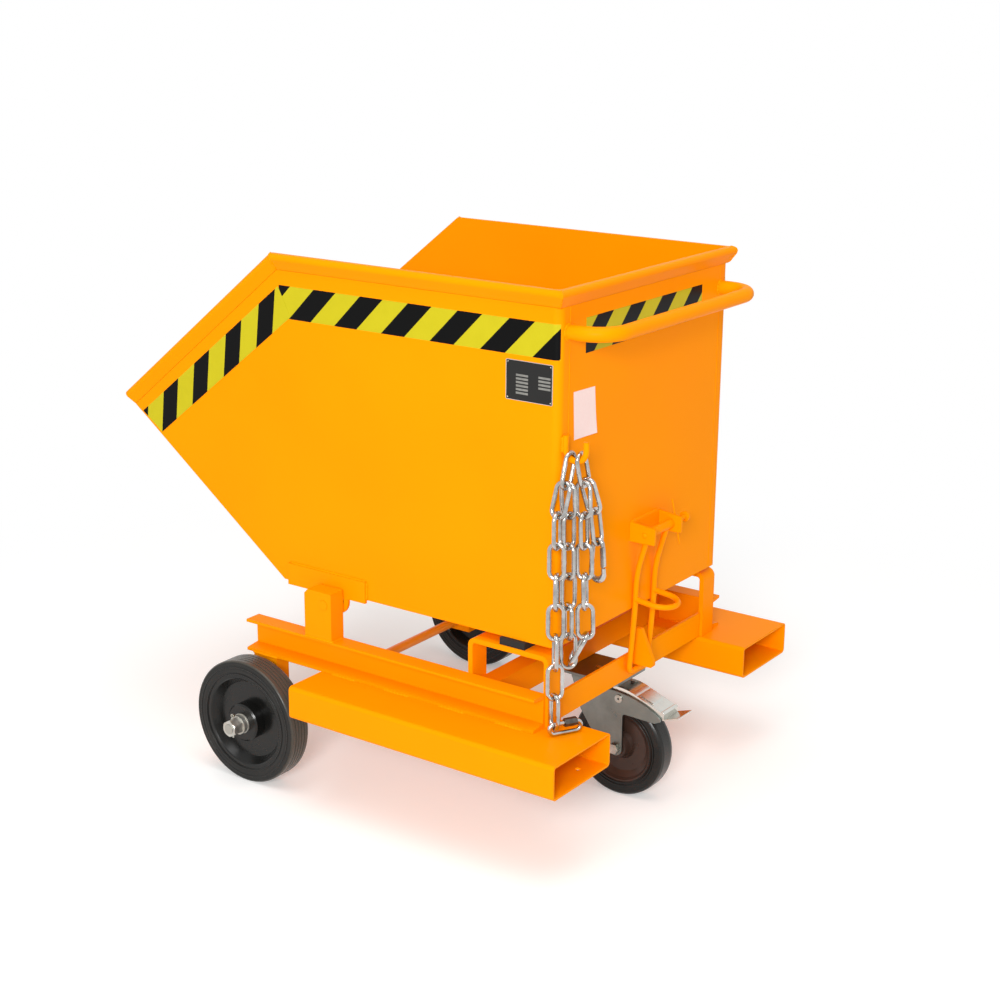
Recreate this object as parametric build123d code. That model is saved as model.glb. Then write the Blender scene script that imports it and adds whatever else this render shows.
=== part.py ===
from build123d import *
import os
from math import asin, atan2, cos, pi, radians, sin, sqrt

# Millimetres. +X points to the push handle, -Y is the pusher's left, +Z is up and the floor is Z = 0.
# Left pieces are drawn first and the right ones are their mirror images.

# Skip
sheet = 3.0
box_width = 586.0
box_length = 634.0
box_bottom = 394.0
side_height = 610.0
lip_reach = 1027.0
lip_rise = 295.0
corner_radius = 15.0
corner_flange = 16.0
lip_hem = 15.0
rim_height = 31.0
rim_depth = 11.5
rim_wall = 2.5

# Push handle
handle_tube = 26.9
handle_wall = 2.6
handle_reach = 78.0
handle_inset = 27.0
handle_drop = 44.0
handle_bend = 56.0

# Chassis
side_gap = 10.0
channel_height = 65.0
channel_width = 36.0
channel_web = 5.5
channel_flange = 7.5
chassis_front = 697.0
chassis_setback = 12.0
pocket_width = 183.0
pocket_height = 65.0
pocket_wall = 4.0
pocket_radius = 8.0
pocket_inset = 52.0
pocket_front = 505.0
pocket_rear = 94.0
drain_hole = 10.0
member_height = 50.0
member_width = 40.0
member_wall = 5.0
angle_leg = 50.0
angle_wall = 6.0
rest_bar_width = 44.0
rest_bar_thickness = 10.0
rest_proud = 6.0
rest_length = 170.0
rest_bend = 16.0
pad_length = 54.0
pad_height = 13.7
pad_setback = 60.0
pad_inset = 3.0

# Tipping hinge
pivot_setback = 497.0
pivot_drop = 12.0
hinge_pin = 20.0
lug_radius = 28.0
bracket_thickness = 6.0
bracket_front = 123.0
bracket_rear = 70.0
bracket_height = 43.0
post_length = 66.0
post_wall = 4.0
post_above_pivot = 25.0
post_chamfer = 9.0
post_ahead = 47.0

# Front wheels
wheel_diameter = 250.0
wheel_width = 50.0
tyre_band = 28.0
tyre_shoulder = 5.0
groove_pitch = 8.0
groove_width = 2.5
groove_depth = 1.5
rim_inset = 1.5
rim_flange = 9.0
dish_wall = 11.0
dish_depth = 20.0
hub_boss = 76.0
axle_setback = 650.0
axle_diameter = 20.0
axle_bracket_length = 58.0
axle_bracket_wall = 5.0
wheel_gap = 17.0
collar_flange = 38.0
collar_flange_width = 10.0
collar_flats = 30.0
collar_length = 24.0
axle_tip = 1.5
split_wire = 4.0
split_eye = 4.0
washer_diameter = 40.0
washer_thickness = 3.0
bearing_diameter = 32.0
hub_overhang = 5.0

# Caster
caster_diameter = 200.0
caster_width = 44.0
caster_tyre_band = 24.0
caster_headroom = 45.0
caster_trail = 59.0
caster_setback = 88.0
caster_plate_length = 152.0
caster_plate_width = 110.0
caster_plate_thickness = 5.0
caster_plate_corner = 10.0
caster_hole_length = 120.0
caster_hole_width = 80.0
bolt_diameter = 10.0
kingpin_diameter = 12.0
race_radius = 38.0
race_wall = 2.5
crown_height = 17.0
crown_half = 43.0
fork_inner = 27.0
fork_wall = 4.0
leg_end = 15.0
leg_corner = 6.0
arm_depth = 53.0
arm_length = 98.0
arm_rise = 12.0
arm_fall = 43.0
arm_bow = 9.0
caster_axle_diameter = 12.0
bush_radius = 12.0

# The fork leg's front edge, from the caster's axle: back and up
leg_shoulder = (-80.0, 63.0)
leg_waist = (-50.0, 20.0)

# Brake
pedal_pin_diameter = 8.0
pedal_wall = 2.5
pedal_play = 0.6
pedal_back = 6.0
pedal_drop = 23.5
pedal_length = 128.0
pad_half_width = 18.0
shoe_length = 30.0
shoe_gap = 0.4
brake_angle = 8.5

# The pedal's side view, from its pivot: back and up
pedal_front = (-16.0, 20.5)
pedal_crown = (12.0, 20.2)
pedal_knee = (37.0, 12.2)
pedal_heel = (98.0, -10.5)
pedal_hem = (96.5, -23.0)
pedal_tip_rise = 10.0
pedal_skirt = ((60.0, -18.0), (8.0, -12.0), (-12.0, -10.0))

# Latch
latch_height = 547.0
latch_reach = 31.0
latch_pin_diameter = 10.0
latch_shift = 4.5
ear_span = 91.0
ear_thickness = 6.0
bail_rod = 11.0
bail_span = 68.0
bail_foot_rise = 17.0
bail_foot_gap = 3.0
bail_wall_gap = 7.0
bail_knee_drop = 102.0
bail_knee_bend = 60.0
bail_foot_bend = 14.0
grip_drop = 135.0
grip_reach = 40.0
grip_tilt = 7.0
ear_drop = 17.0
ear_rise = 21.0
ear_overhang = 22.0
latch_pin_free = 50.0
latch_wire = 3.2
latch_wire_setback = 13.0
latch_wire_up = 42.0
latch_wire_down = 45.0
latch_wire_tilt = 12.6
catch_reach = 46.0
catch_height = 74.0
catch_gap = 4.0
catch_thickness = 10.0

# Chain
hook_bar = 11.0
hook_radius = 21.0
hook_shank = 22.0
hook_nose = 16.0
chain_wire = 8.0
chain_inner = 55.3
chain_outer_width = 35.0
link_slack = 0.3
hung_lean = 17.3
hung_apart = 8.8
start_apart = 4.66
start_drop = 2.4

# How the chain's strands hang: points out from the hook's bow, across and down, and twist in degrees a link
long_knee = (-14.7, -33.4, 116.0)
long_end = (-2.8, -48.8, 511.0)
long_twist = 8.7
near_knee = (-5.4, -9.8, 116.0)
near_end = (-0.2, -13.3, 341.0)
near_twist = -7.5
near_lean = 2.0
near_lift = 0.14
far_knee = (17.0, 2.8, 116.0)
far_end = (25.8, 2.8, 341.0)
far_twist = 7.3
far_lean = 27.6
far_lift = 1.2
tail_knee = (25.5, 26.2, 116.0)
tail_end = (37.0, 27.0, 201.0)

# Chain ends
snap_wire = 8.0
snap_eye = 9.5
snap_bow = 13.0
snap_drop = 50.0
snap_nose = 8.0
snap_heel = 3.0
gate_gap = 0.6
quick_bend = 9.2
quick_length = 44.0
quick_gap_start = 28.0
quick_gap_end = 37.0
quick_nut = 14.0
quick_nut_length = 24.0
quick_nut_cover = 8.0
chain_rest = 0.8

# Fits
running_gap = 0.05
side_clearance = 0.3

# Levels and stations that follow from the sizes
half = box_width / 2
deck_height = caster_diameter + caster_headroom
bail_foot = deck_height + bail_foot_rise
crease = box_bottom + side_height
handle_height = crease - handle_drop
box_top = crease + rim_height
slope = atan2(side_height - lip_rise, lip_reach - box_length)
lip_height = box_bottom + lip_rise
front_extent = lip_reach + rim_height * sin(slope)
pedal_tail = caster_trail + pedal_back + pedal_length - caster_setback
rear_extent = max(pocket_rear, handle_reach + handle_tube / 2, pedal_tail)
box_rear = (front_extent - rear_extent) / 2
channel_in = half + side_gap
channel_out = channel_in + channel_width
channel_top = deck_height + channel_height
pocket_in = channel_in - pocket_inset
rest_in = channel_in - rest_bar_width
rest_top = box_bottom - pad_height - side_clearance
chassis_rear = box_rear - chassis_setback
rest_rear = chassis_rear + rest_proud
rest_front = chassis_rear - rest_length
member_front = rest_front + rest_bar_thickness
pivot_x = box_rear - pivot_setback
pivot_z = box_bottom - pivot_drop
axle_x = box_rear - axle_setback
axle_z = wheel_diameter / 2
wheel_in = channel_out + wheel_gap
wheel_mid = wheel_in + wheel_width / 2
hub_in = wheel_in - hub_overhang
hub_out = wheel_in + wheel_width + hub_overhang
collar_in = hub_out + side_clearance + washer_thickness
collar_step = collar_in + collar_flange_width
collar_out = collar_step + collar_length
axle_end = collar_out + axle_tip
split_mid = collar_step + collar_length / 2
swivel_x = box_rear - caster_setback
caster_x = swivel_x + caster_trail
caster_z = caster_diameter / 2
plate_bottom = deck_height - caster_plate_thickness
crown_top = deck_height - crown_height
latch_x = box_rear + latch_reach
floor_front = box_rear - box_length
chute_angle = atan2(lip_rise, lip_reach - box_length)
rim_bend = (floor_front - rim_height * sin(slope) / (1 + cos(slope)), box_top)
chain_pitch = chain_inner - link_slack
link_radius = (chain_outer_width - chain_wire) / 2


def block(x0, x1, y0, y1, z0, z1):
    return Pos((x0 + x1) / 2, (y0 + y1) / 2, (z0 + z1) / 2) * Box(abs(x1 - x0), abs(y1 - y0), abs(z1 - z0))


def across(outline, y0, y1):
    """Push a closed X-Z outline from y0 to y1."""
    plane = Plane(origin=(0, y1, 0), x_dir=(1, 0, 0), z_dir=(0, -1, 0))
    return extrude(plane * make_face(Polyline(*outline, close=True)), abs(y1 - y0))


def bar_y(x, z, radius, y0, y1):
    return Pos(x, (y0 + y1) / 2, z) * Rot(90, 0, 0) * Cylinder(radius, abs(y1 - y0))


def bar_z(x, y, radius, z0, z1):
    return Pos(x, y, (z0 + z1) / 2) * Cylinder(radius, abs(z1 - z0))


def tube_y(x, z, outer, inner, y0, y1):
    return bar_y(x, z, outer, y0, y1) - bar_y(x, z, inner, y0 - 1, y1 + 1)


def turned_y(x, z, profile):
    """Turn a closed (y, radius) profile about the line along Y through x, z."""
    plane = Plane(origin=(x, 0, z), x_dir=(0, 1, 0), z_dir=(1, 0, 0))
    face = plane * make_face(Polyline(*profile, close=True))
    return revolve(face, Axis((x, 0, z), (0, 1, 0)))


def turned_z(x, y, profile):
    """Turn a closed (radius, z) profile about the upright line through x, y."""
    plane = Plane(origin=(x, y, 0), x_dir=(1, 0, 0), z_dir=(0, -1, 0))
    face = plane * make_face(Polyline(*profile, close=True))
    return revolve(face, Axis((x, y, 0), (0, 0, 1)))


def bent_rod(path, radius):
    start = path.location_at(0)
    return sweep(Plane(start) * Circle(radius), path)


def other_side(shape):
    return mirror(shape, about=Plane.XZ)


def both_sides(shape):
    return Compound(children=[shape, other_side(shape)])


def save(name, shape):
    export_step(shape, f"parts/{name}.step")


def save_pair(name, shape):
    save(f"{name}_left", shape)
    save(f"{name}_right", other_side(shape))


def slope_point(along, up):
    """A point on the sloped front edge: along it from the lip, and up at a right angle to it."""
    x = box_rear - lip_reach + along * cos(slope) - up * sin(slope)
    z = lip_height + along * sin(slope) + up * cos(slope)
    return (x, z)


def plan_prism(inset, z0, z1):
    """The box in plan with its rounded rear corners, inset all round, from z0 to z1."""
    radius = corner_radius - inset
    front = box_rear - lip_reach - 2 * rim_height
    outline = Polyline(
        (front, inset - half),
        (box_rear - corner_radius, inset - half),
    ) + RadiusArc(
        (box_rear - corner_radius, inset - half), (box_rear - inset, corner_radius - half), -radius
    ) + Line(
        (box_rear - inset, corner_radius - half), (box_rear - inset, half - corner_radius)
    ) + RadiusArc(
        (box_rear - inset, half - corner_radius), (box_rear - corner_radius, half - inset), -radius
    ) + Polyline(
        (box_rear - corner_radius, half - inset),
        (front, half - inset),
        (front, inset - half),
    )
    return Pos(0, 0, z0) * extrude(make_face(outline), z1 - z0)


def side_panel():
    outline = [
        (box_rear, box_bottom),
        (floor_front, box_bottom),
        slope_point(0, 0),
        slope_point(0, rim_height),
        rim_bend,
        (box_rear, box_top),
    ]
    shell = plan_prism(0, 0, box_top) - plan_prism(sheet, -1, box_top + 1)
    return shell & across(outline, -half - 1, corner_radius + corner_flange - half)


def rear_panel():
    edge = half - corner_radius - corner_flange
    return block(box_rear - sheet, box_rear, -edge, edge, box_bottom, box_top)


def floor_inner_front():
    # the floor's top and the chute's top meet on the line that halves their corner
    return floor_front + sheet * (1 - cos(chute_angle)) / sin(chute_angle)


def skip_floor():
    outline = [
        (box_rear, box_bottom),
        (floor_front, box_bottom),
        (floor_inner_front(), box_bottom + sheet),
        (box_rear, box_bottom + sheet),
    ]
    return across(outline, -half, half) & plan_prism(sheet, box_bottom, box_bottom + sheet)


def skip_chute():
    lip_x = box_rear - lip_reach
    normal = (sin(chute_angle), cos(chute_angle))
    hem_x = lip_hem * cos(chute_angle)
    hem_z = lip_hem * sin(chute_angle)
    outline = [
        (floor_front, box_bottom),
        (lip_x + hem_x, lip_height - hem_z),
        (lip_x + hem_x - sheet * normal[0], lip_height - hem_z - sheet * normal[1]),
        (lip_x - sheet * normal[0], lip_height - sheet * normal[1]),
        (lip_x + sheet * normal[0], lip_height + sheet * normal[1]),
        (floor_inner_front(), box_bottom + sheet),
    ]
    return across(outline, sheet - half, half - sheet)


def rim_section(plane, inset):
    """The rolled rim: u outward from the sheet and v up from the crease."""
    nose_u = rim_depth * 0.9
    nose_v = rim_height * 0.58
    lean = nose_v / nose_u
    rise = inset * sqrt(1 + lean * lean)
    nose = (nose_u - inset, nose_v - inset * lean + rise)
    round_mid = (rim_depth - inset, rim_height * 0.76)
    top = (rim_depth * 0.35, rim_height - inset)
    edge = Polyline(top, (inset, rim_height - inset), (inset, inset * lean + rise), nose)
    return plane * make_face(edge + ThreePointArc(nose, round_mid, top))


def rim_run(inset, start):
    """One side's rim from the lip over the bend, longer than needed at the rear."""
    x, z = slope_point(start, 0)
    path = Polyline((x, -half, z), (floor_front, -half, crease), (box_rear + 2 * rim_depth, -half, crease))
    plane = Plane(origin=(x, -half, z), x_dir=(0, -1, 0), z_dir=(-cos(slope), 0, -sin(slope)))
    return sweep(rim_section(plane, inset), path, transition=Transition.RIGHT)


def rim_side():
    far = 2 * rim_depth
    front = box_rear - lip_reach - 2 * rim_height
    mitre = Polyline(
        (front, -half), (box_rear, -half), (box_rear + far, -half - far), (front, -half - far), close=True
    )
    keep = extrude(make_face(mitre), box_top + rim_height)
    return (rim_run(0, 0) - rim_run(rim_wall, rim_wall)) & keep


def rim_rear():
    far = 2 * rim_depth
    plane = Plane(origin=(box_rear, half + far, crease), x_dir=(1, 0, 0), z_dir=(0, -1, 0))
    long = box_width + 2 * far
    run = extrude(rim_section(plane, 0), long) - extrude(rim_section(plane, rim_wall), long)
    mitre = Polyline(
        (box_rear, -half),
        (box_rear + far, -half - far),
        (box_rear + far, half + far),
        (box_rear, half),
        close=True,
    )
    run = run & extrude(make_face(mitre), box_top + rim_height)
    filler = block(box_rear - corner_radius, box_rear, -half, corner_radius - half, crease, box_top)
    filler = filler - plan_prism(0, crease - 1, box_top + 1)
    return run + filler + other_side(filler)


def push_handle():
    end = half - handle_inset
    out = box_rear + handle_reach
    path = FilletPolyline(
        (box_rear, -end, handle_height),
        (out, -end, handle_height),
        (out, end, handle_height),
        (box_rear, end, handle_height),
        radius=handle_bend,
    )
    outer = bent_rod(path, handle_tube / 2)
    return outer - bent_rod(path, handle_tube / 2 - handle_wall)


def hinge_bracket():
    low = box_bottom - bracket_thickness
    outer = half + bracket_thickness
    front = pivot_x - bracket_front
    plate = block(front, pivot_x + bracket_rear, -outer, -half, low, low + bracket_height)
    lug = bar_y(pivot_x, pivot_z, lug_radius, -outer, -half)
    hole = bar_y(pivot_x, pivot_z, hinge_pin / 2 + running_gap, -outer - 1, 1 - half)
    return plate + lug - hole


def hinge_post():
    front = pivot_x - post_ahead
    rear = front + post_length
    top = pivot_z + post_above_pivot
    outline = [
        (front, channel_top),
        (rear, channel_top),
        (rear, top),
        (front + post_chamfer, top),
        (front, top - post_chamfer),
    ]
    body = across(outline, -channel_out, -channel_in)
    inside = block(
        front + post_wall,
        rear - post_wall,
        post_wall - channel_out,
        1 - channel_in,
        channel_top - 1,
        top - post_chamfer,
    )
    boss = bar_y(pivot_x, pivot_z, hinge_pin / 2 + 2 * post_wall, -channel_out, -channel_in)
    hole = bar_y(pivot_x, pivot_z, hinge_pin / 2, -channel_out - 1, 1 - channel_in)
    return (body - inside + boss) - hole


def hinge_pins():
    pin = bar_y(pivot_x, pivot_z, hinge_pin / 2, -channel_out - 1, 1 - half)
    return both_sides(pin)


def hinge_washers():
    outer = -channel_in
    inner = -half - bracket_thickness - side_clearance
    ring = tube_y(pivot_x, pivot_z, hinge_pin * 0.9, hinge_pin / 2 + running_gap, outer, inner)
    return both_sides(ring)


def channel():
    taper = channel_flange * 0.25
    web = channel_in + channel_web
    thin = channel_flange - taper
    outline = [
        (-channel_in, deck_height),
        (-channel_out, deck_height),
        (-channel_out, deck_height + thin),
        (-web, deck_height + channel_flange + taper),
        (-web, channel_top - channel_flange - taper),
        (-channel_out, channel_top - thin),
        (-channel_out, channel_top),
        (-channel_in, channel_top),
    ]
    plane = Plane(origin=(box_rear - chassis_front, 0, 0), x_dir=(0, 1, 0), z_dir=(1, 0, 0))
    return extrude(plane * make_face(Polyline(*outline, close=True)), chassis_front - chassis_setback)


def fork_pocket():
    mid_y = -pocket_in - pocket_width / 2
    mid_z = deck_height - pocket_height / 2
    plane = Plane(origin=(box_rear - pocket_front, mid_y, mid_z), x_dir=(0, 1, 0), z_dir=(1, 0, 0))
    length = pocket_front + pocket_rear
    outer = extrude(plane * RectangleRounded(pocket_width, pocket_height, pocket_radius), length)
    bore = RectangleRounded(
        pocket_width - 2 * pocket_wall, pocket_height - 2 * pocket_wall, pocket_radius - pocket_wall
    )
    low = deck_height - pocket_height
    drain = bar_z(box_rear + pocket_rear * 0.64, -channel_in, drain_hole / 2, low - 1, low + pocket_wall + 1)
    return outer - extrude(plane * bore, length) - drain


def caster_cross_member():
    rear = member_front + member_width
    outer = block(member_front, rear, -channel_in, channel_in, deck_height, deck_height + member_height)
    inner = block(
        member_front - 1,
        rear - member_wall,
        -channel_in - 1,
        channel_in + 1,
        deck_height + member_wall,
        deck_height + member_height - member_wall,
    )
    return outer - inner - caster_holes()


def rear_crossbar():
    front = chassis_rear - angle_leg
    top = deck_height + angle_leg
    upright = block(chassis_rear - angle_wall, chassis_rear, -rest_in, rest_in, deck_height, top)
    foot = block(front, chassis_rear, -rest_in, rest_in, deck_height, deck_height + angle_wall)
    return upright + foot - caster_holes()


def rest_frame():
    outer = block(rest_front, rest_rear, -channel_in, -rest_in, deck_height, rest_top)
    outer = fillet(outer.edges().filter_by(Axis.Y).group_by(Axis.Z)[-1], rest_bend)
    inner = block(
        rest_front + rest_bar_thickness,
        rest_rear - rest_bar_thickness,
        -channel_in - 1,
        1 - rest_in,
        deck_height - 1,
        rest_top - rest_bar_thickness,
    )
    inner = fillet(inner.edges().filter_by(Axis.Y).group_by(Axis.Z)[-1], rest_bend - rest_bar_thickness)
    return outer - inner


def rest_pads():
    rear = box_rear - pad_setback
    outer = channel_in - pad_inset
    inner = rest_in + pad_inset
    pad = block(rear - pad_length, rear, -outer, -inner, rest_top, rest_top + pad_height)
    return both_sides(pad)


def axle_bracket():
    front = axle_x - axle_bracket_length / 2
    rear = axle_x + axle_bracket_length / 2
    low = axle_z - axle_diameter * 1.25
    outer = block(front, rear, -channel_out, -channel_in, low, deck_height)
    inner = block(
        front + axle_bracket_wall,
        rear - axle_bracket_wall,
        axle_bracket_wall - channel_out,
        -channel_in - axle_bracket_wall,
        low - 1,
        deck_height + 1,
    )
    hole = bar_y(axle_x, axle_z, axle_diameter / 2 + running_gap, -channel_out - 1, 1 - channel_in)
    return outer - inner - hole


def wheel_axle():
    shaft = bar_y(axle_x, axle_z, axle_diameter / 2, -axle_end, axle_end)
    hole = split_pin_hole()
    return shaft - hole - other_side(hole)


def split_pin_hole():
    return bar_z(axle_x, -split_mid, split_wire * 0.55, axle_z - collar_flange, axle_z + collar_flange)


def axle_spacers():
    """A spacer on the inner side of each wheel and a washer on its outer side."""
    bore = axle_diameter / 2 + running_gap
    spacer = tube_y(axle_x, axle_z, axle_diameter * 0.75, bore, side_clearance - hub_in, -channel_out)
    face = hub_out + side_clearance
    washer = tube_y(axle_x, axle_z, washer_diameter / 2, bore, -face - washer_thickness, -face)
    return Compound(children=[spacer, washer, other_side(spacer), other_side(washer)])


def axle_collars():
    """A flanged six-sided collar on each axle end, one corner up and its outer edges turned off."""
    bore = bar_y(axle_x, axle_z, axle_diameter / 2 + running_gap, -collar_out - 1, 1 - collar_in)
    flange = bar_y(axle_x, axle_z, collar_flange / 2, -collar_step, -collar_in)
    plane = Plane(origin=(axle_x, -collar_step, axle_z), x_dir=(0, 0, 1), z_dir=(0, -1, 0))
    body = extrude(plane * RegularPolygon(collar_flats / 2, 6, major_radius=False), collar_length)
    corner = collar_flats / sqrt(3)
    turned_off = [
        (-collar_step, 0),
        (-collar_step, corner),
        (corner - collar_flats / 2 - collar_out, corner),
        (-collar_out, collar_flats / 2),
        (-collar_out, 0),
    ]
    body = body & turned_y(axle_x, axle_z, turned_off)
    return both_sides(flange + body - bore - split_pin_hole())


def axle_split_pins():
    corner = collar_flats / sqrt(3)
    top = axle_z + corner + split_wire
    wire = bar_z(axle_x, -split_mid, split_wire / 2, axle_z - corner - split_wire, top)
    flat = split_wire * 0.45
    eye = tube_y(axle_x, top + split_eye * 0.75, split_eye, split_eye / 2, -split_mid - flat, flat - split_mid)
    return both_sides(wire + eye)


def wheel_profile(side, mid):
    """Both halves of a wheel's (y, radius) profile, from one half measured from the middle."""
    return [(mid - y, r) for y, r in side] + [(mid + y, r) for y, r in reversed(side)]


def front_tyre():
    """The tyre with its ring by the rim, round shoulders and grooves in the tread."""
    r = wheel_diameter / 2
    seat = r - tyre_band
    w = wheel_width / 2
    side = [(w - rim_inset, seat), (w - rim_inset / 3, seat + 2), (w, seat + 7), (w, r)]
    for middle in (groove_pitch * 1.5, groove_pitch * 0.5):
        outer = middle + groove_width / 2
        inner = middle - groove_width / 2
        side += [(outer, r), (middle + groove_width / 4, r - groove_depth)]
        side += [(middle - groove_width / 4, r - groove_depth), (inner, r)]
    tyre = turned_y(axle_x, axle_z, wheel_profile(side, -wheel_mid))
    tread = tyre.edges().filter_by(GeomType.CIRCLE).group_by(SortBy.RADIUS)[-1].sort_by(Axis.Y)
    return fillet([tread[0], tread[-1]], tyre_shoulder)


def front_rim():
    seat = wheel_diameter / 2 - tyre_band
    w = wheel_width / 2
    hub = w + hub_overhang
    lip = seat - rim_flange
    side = [
        (hub, bearing_diameter / 2),
        (hub, hub_boss / 2 - 3),
        (hub - 3, hub_boss / 2),
        (w - dish_depth, hub_boss / 2),
        (w - dish_depth, lip - dish_wall),
        (w - 2 * rim_inset, lip),
        (w - rim_inset, lip + 2),
        (w - rim_inset, seat),
    ]
    return turned_y(axle_x, axle_z, wheel_profile(side, -wheel_mid))


def front_bearing():
    return tube_y(
        axle_x, axle_z, bearing_diameter / 2, axle_diameter / 2 + running_gap, -hub_out + 0.5, -hub_in - 0.5
    )


def caster_holes():
    radius = bolt_diameter / 2 + side_clearance
    top = deck_height + angle_wall
    holes = []
    for x in (swivel_x - caster_hole_length / 2, swivel_x + caster_hole_length / 2):
        for y in (-caster_hole_width / 2, caster_hole_width / 2):
            holes.append(bar_z(x, y, radius, plate_bottom - 1, top + 1))
    return holes


def caster_plate():
    plate = block(
        swivel_x - caster_plate_length / 2,
        swivel_x + caster_plate_length / 2,
        -caster_plate_width / 2,
        caster_plate_width / 2,
        plate_bottom,
        deck_height,
    )
    plate = fillet(plate.edges().filter_by(Axis.Z), caster_plate_corner)
    hole = bar_z(swivel_x, 0, kingpin_diameter / 2 + running_gap, plate_bottom - 1, deck_height + 1)
    return plate - caster_holes() - hole


def hex_head(x, y, across_flats, z0, z1):
    return Pos(x, y, z0) * extrude(RegularPolygon(across_flats / 2, 6, major_radius=False), z1 - z0)


def caster_bolts():
    """Four bolts from below with their nuts on top of the frame."""
    flats = bolt_diameter * 1.6
    pieces = []
    for dx, seat in ((-1, member_wall), (1, angle_wall)):
        for dy in (-1, 1):
            x = swivel_x + dx * caster_hole_length / 2
            y = dy * caster_hole_width / 2
            low = deck_height + seat
            shank = bar_z(x, y, bolt_diameter / 2, plate_bottom, low + bolt_diameter * 1.1)
            nut = hex_head(x, y, flats, low, low + bolt_diameter * 0.8)
            pieces.append(shank + hex_head(x, y, flats, plate_bottom - bolt_diameter * 0.6, plate_bottom))
            pieces.append(nut - bar_z(x, y, bolt_diameter / 2, low - 1, low + bolt_diameter))
    return Compound(children=pieces)


def caster_kingpin():
    r = kingpin_diameter / 2
    head_top = crown_top - fork_wall - side_clearance
    profile = [
        (0, deck_height),
        (r, deck_height),
        (r, head_top),
        (r * 1.9, head_top),
        (r * 1.9, head_top - 4),
        (r * 1.4, head_top - 7),
        (0, head_top - 7),
    ]
    return turned_z(swivel_x, 0, profile)


def swivel_race():
    """The dished race ring that hangs under the caster plate, round the fork's own race."""
    low = crown_top + 1
    bend = race_wall + 0.5
    lip = race_radius - race_wall
    seat = race_radius * 0.68
    profile = [
        (seat, plate_bottom),
        (lip, plate_bottom),
        (race_radius, plate_bottom - bend),
        (race_radius, low),
        (lip, low),
        (lip, plate_bottom - bend - 1),
        (seat, plate_bottom - bend - 1),
    ]
    return turned_z(swivel_x, 0, profile)


def fork_cheek():
    """One side of the fork: a leg down to the axle and an arm back over the wheel, cut from one plate."""
    s = fork_inner + fork_wall
    tip_x = caster_x + arm_length
    tip_z = crown_top - arm_fall
    crown_rear = swivel_x + crown_half
    arm_low = crown_top - arm_depth
    arm_start = (crown_rear, crown_top - arm_bow)
    middle = ((crown_rear + tip_x) / 2, (arm_start[1] + tip_z) / 2 + arm_bow)
    edge = Polyline(
        arm_start,
        (crown_rear, crown_top),
        (swivel_x - crown_half, crown_top),
        (caster_x + leg_shoulder[0], caster_z + leg_shoulder[1]),
        (caster_x + leg_waist[0], caster_z + leg_waist[1]),
        (caster_x - leg_end * 0.7, caster_z - leg_end * 0.7),
        (caster_x + leg_end, caster_z),
        (caster_x + leg_end, arm_low),
        (tip_x - arm_rise, arm_low - 2),
        (tip_x, tip_z - arm_rise / 2),
        (tip_x, tip_z),
    )
    plane = Plane(origin=(0, -fork_inner, 0), x_dir=(1, 0, 0), z_dir=(0, -1, 0))
    cheek = extrude(plane * make_face(edge + ThreePointArc((tip_x, tip_z), middle, arm_start)), fork_wall)
    corner = (caster_x + leg_end, -fork_inner, arm_low)
    cheek = fillet(cheek.edges().filter_by(Axis.Y).sort_by_distance(corner)[0], leg_corner)
    cheek = cheek + bar_y(caster_x, caster_z, leg_end, -s, -fork_inner)
    pin_x, pin_z = pedal_pivot()
    axle_hole = bar_y(caster_x, caster_z, caster_axle_diameter / 2 + running_gap, -s - 1, 1 - fork_inner)
    pin_hole = bar_y(pin_x, pin_z, pedal_pin_diameter / 2 + running_gap, -s - 1, 1 - fork_inner)
    return cheek - axle_hole - pin_hole


def caster_fork():
    s = fork_inner + fork_wall
    low = crown_top - fork_wall
    crown = block(swivel_x - crown_half, swivel_x + crown_half, -s, s, low, crown_top)
    boss = kingpin_diameter
    ring = race_radius - race_wall - 1.5
    top = plate_bottom - race_wall - 2
    profile = [
        (boss, crown_top),
        (ring, crown_top),
        (ring, top),
        (ring - race_wall * 3, top),
        (boss, crown_top + race_wall),
    ]
    cup = turned_z(swivel_x, 0, profile)
    hole = bar_z(swivel_x, 0, kingpin_diameter / 2 + running_gap, low - 1, crown_top + race_wall + 1)
    cheek = fork_cheek()
    return crown + cup + cheek + other_side(cheek) - hole


def pedal_pivot():
    return (caster_x + pedal_back, crown_top - pedal_drop)


def caster_axle():
    """The caster wheel's axle bolt and its nut."""
    s = fork_inner + fork_wall
    r = caster_axle_diameter / 2
    deep = r * 1.25
    hexagon = RegularPolygon(caster_axle_diameter * 0.79, 6, major_radius=False)
    head = Pos(caster_x, -s - deep, caster_z) * Rot(-90, 0, 0) * extrude(hexagon, deep)
    nut = Pos(caster_x, s, caster_z) * Rot(-90, 0, 0) * extrude(hexagon, r * 1.5)
    bolt = bar_y(caster_x, caster_z, r, -s - 1, s + r * 1.8) + head
    return Compound(children=[bolt, nut - bar_y(caster_x, caster_z, r, s - 1, s + 2 * r)])


def pedal_pin():
    """The pedal's hollow pivot rivet with its turned-over ends."""
    s = fork_inner + fork_wall
    x, z = pedal_pivot()
    end = s + fork_wall / 2
    tube = tube_y(x, z, pedal_pin_diameter / 2, pedal_pin_diameter / 4, -end, end)
    collar = tube_y(x, z, pedal_pin_diameter, pedal_pin_diameter / 4, -end, -s)
    return tube + collar + other_side(collar)


def caster_tyre():
    r = caster_diameter / 2
    seat = r - caster_tyre_band
    w = caster_width / 2
    side = [(w - 2, seat), (w, seat + 8), (w, r - 5), (w - 3, r - 1.5), (w - 10, r)]
    return turned_y(caster_x, caster_z, wheel_profile(side, 0))


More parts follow.
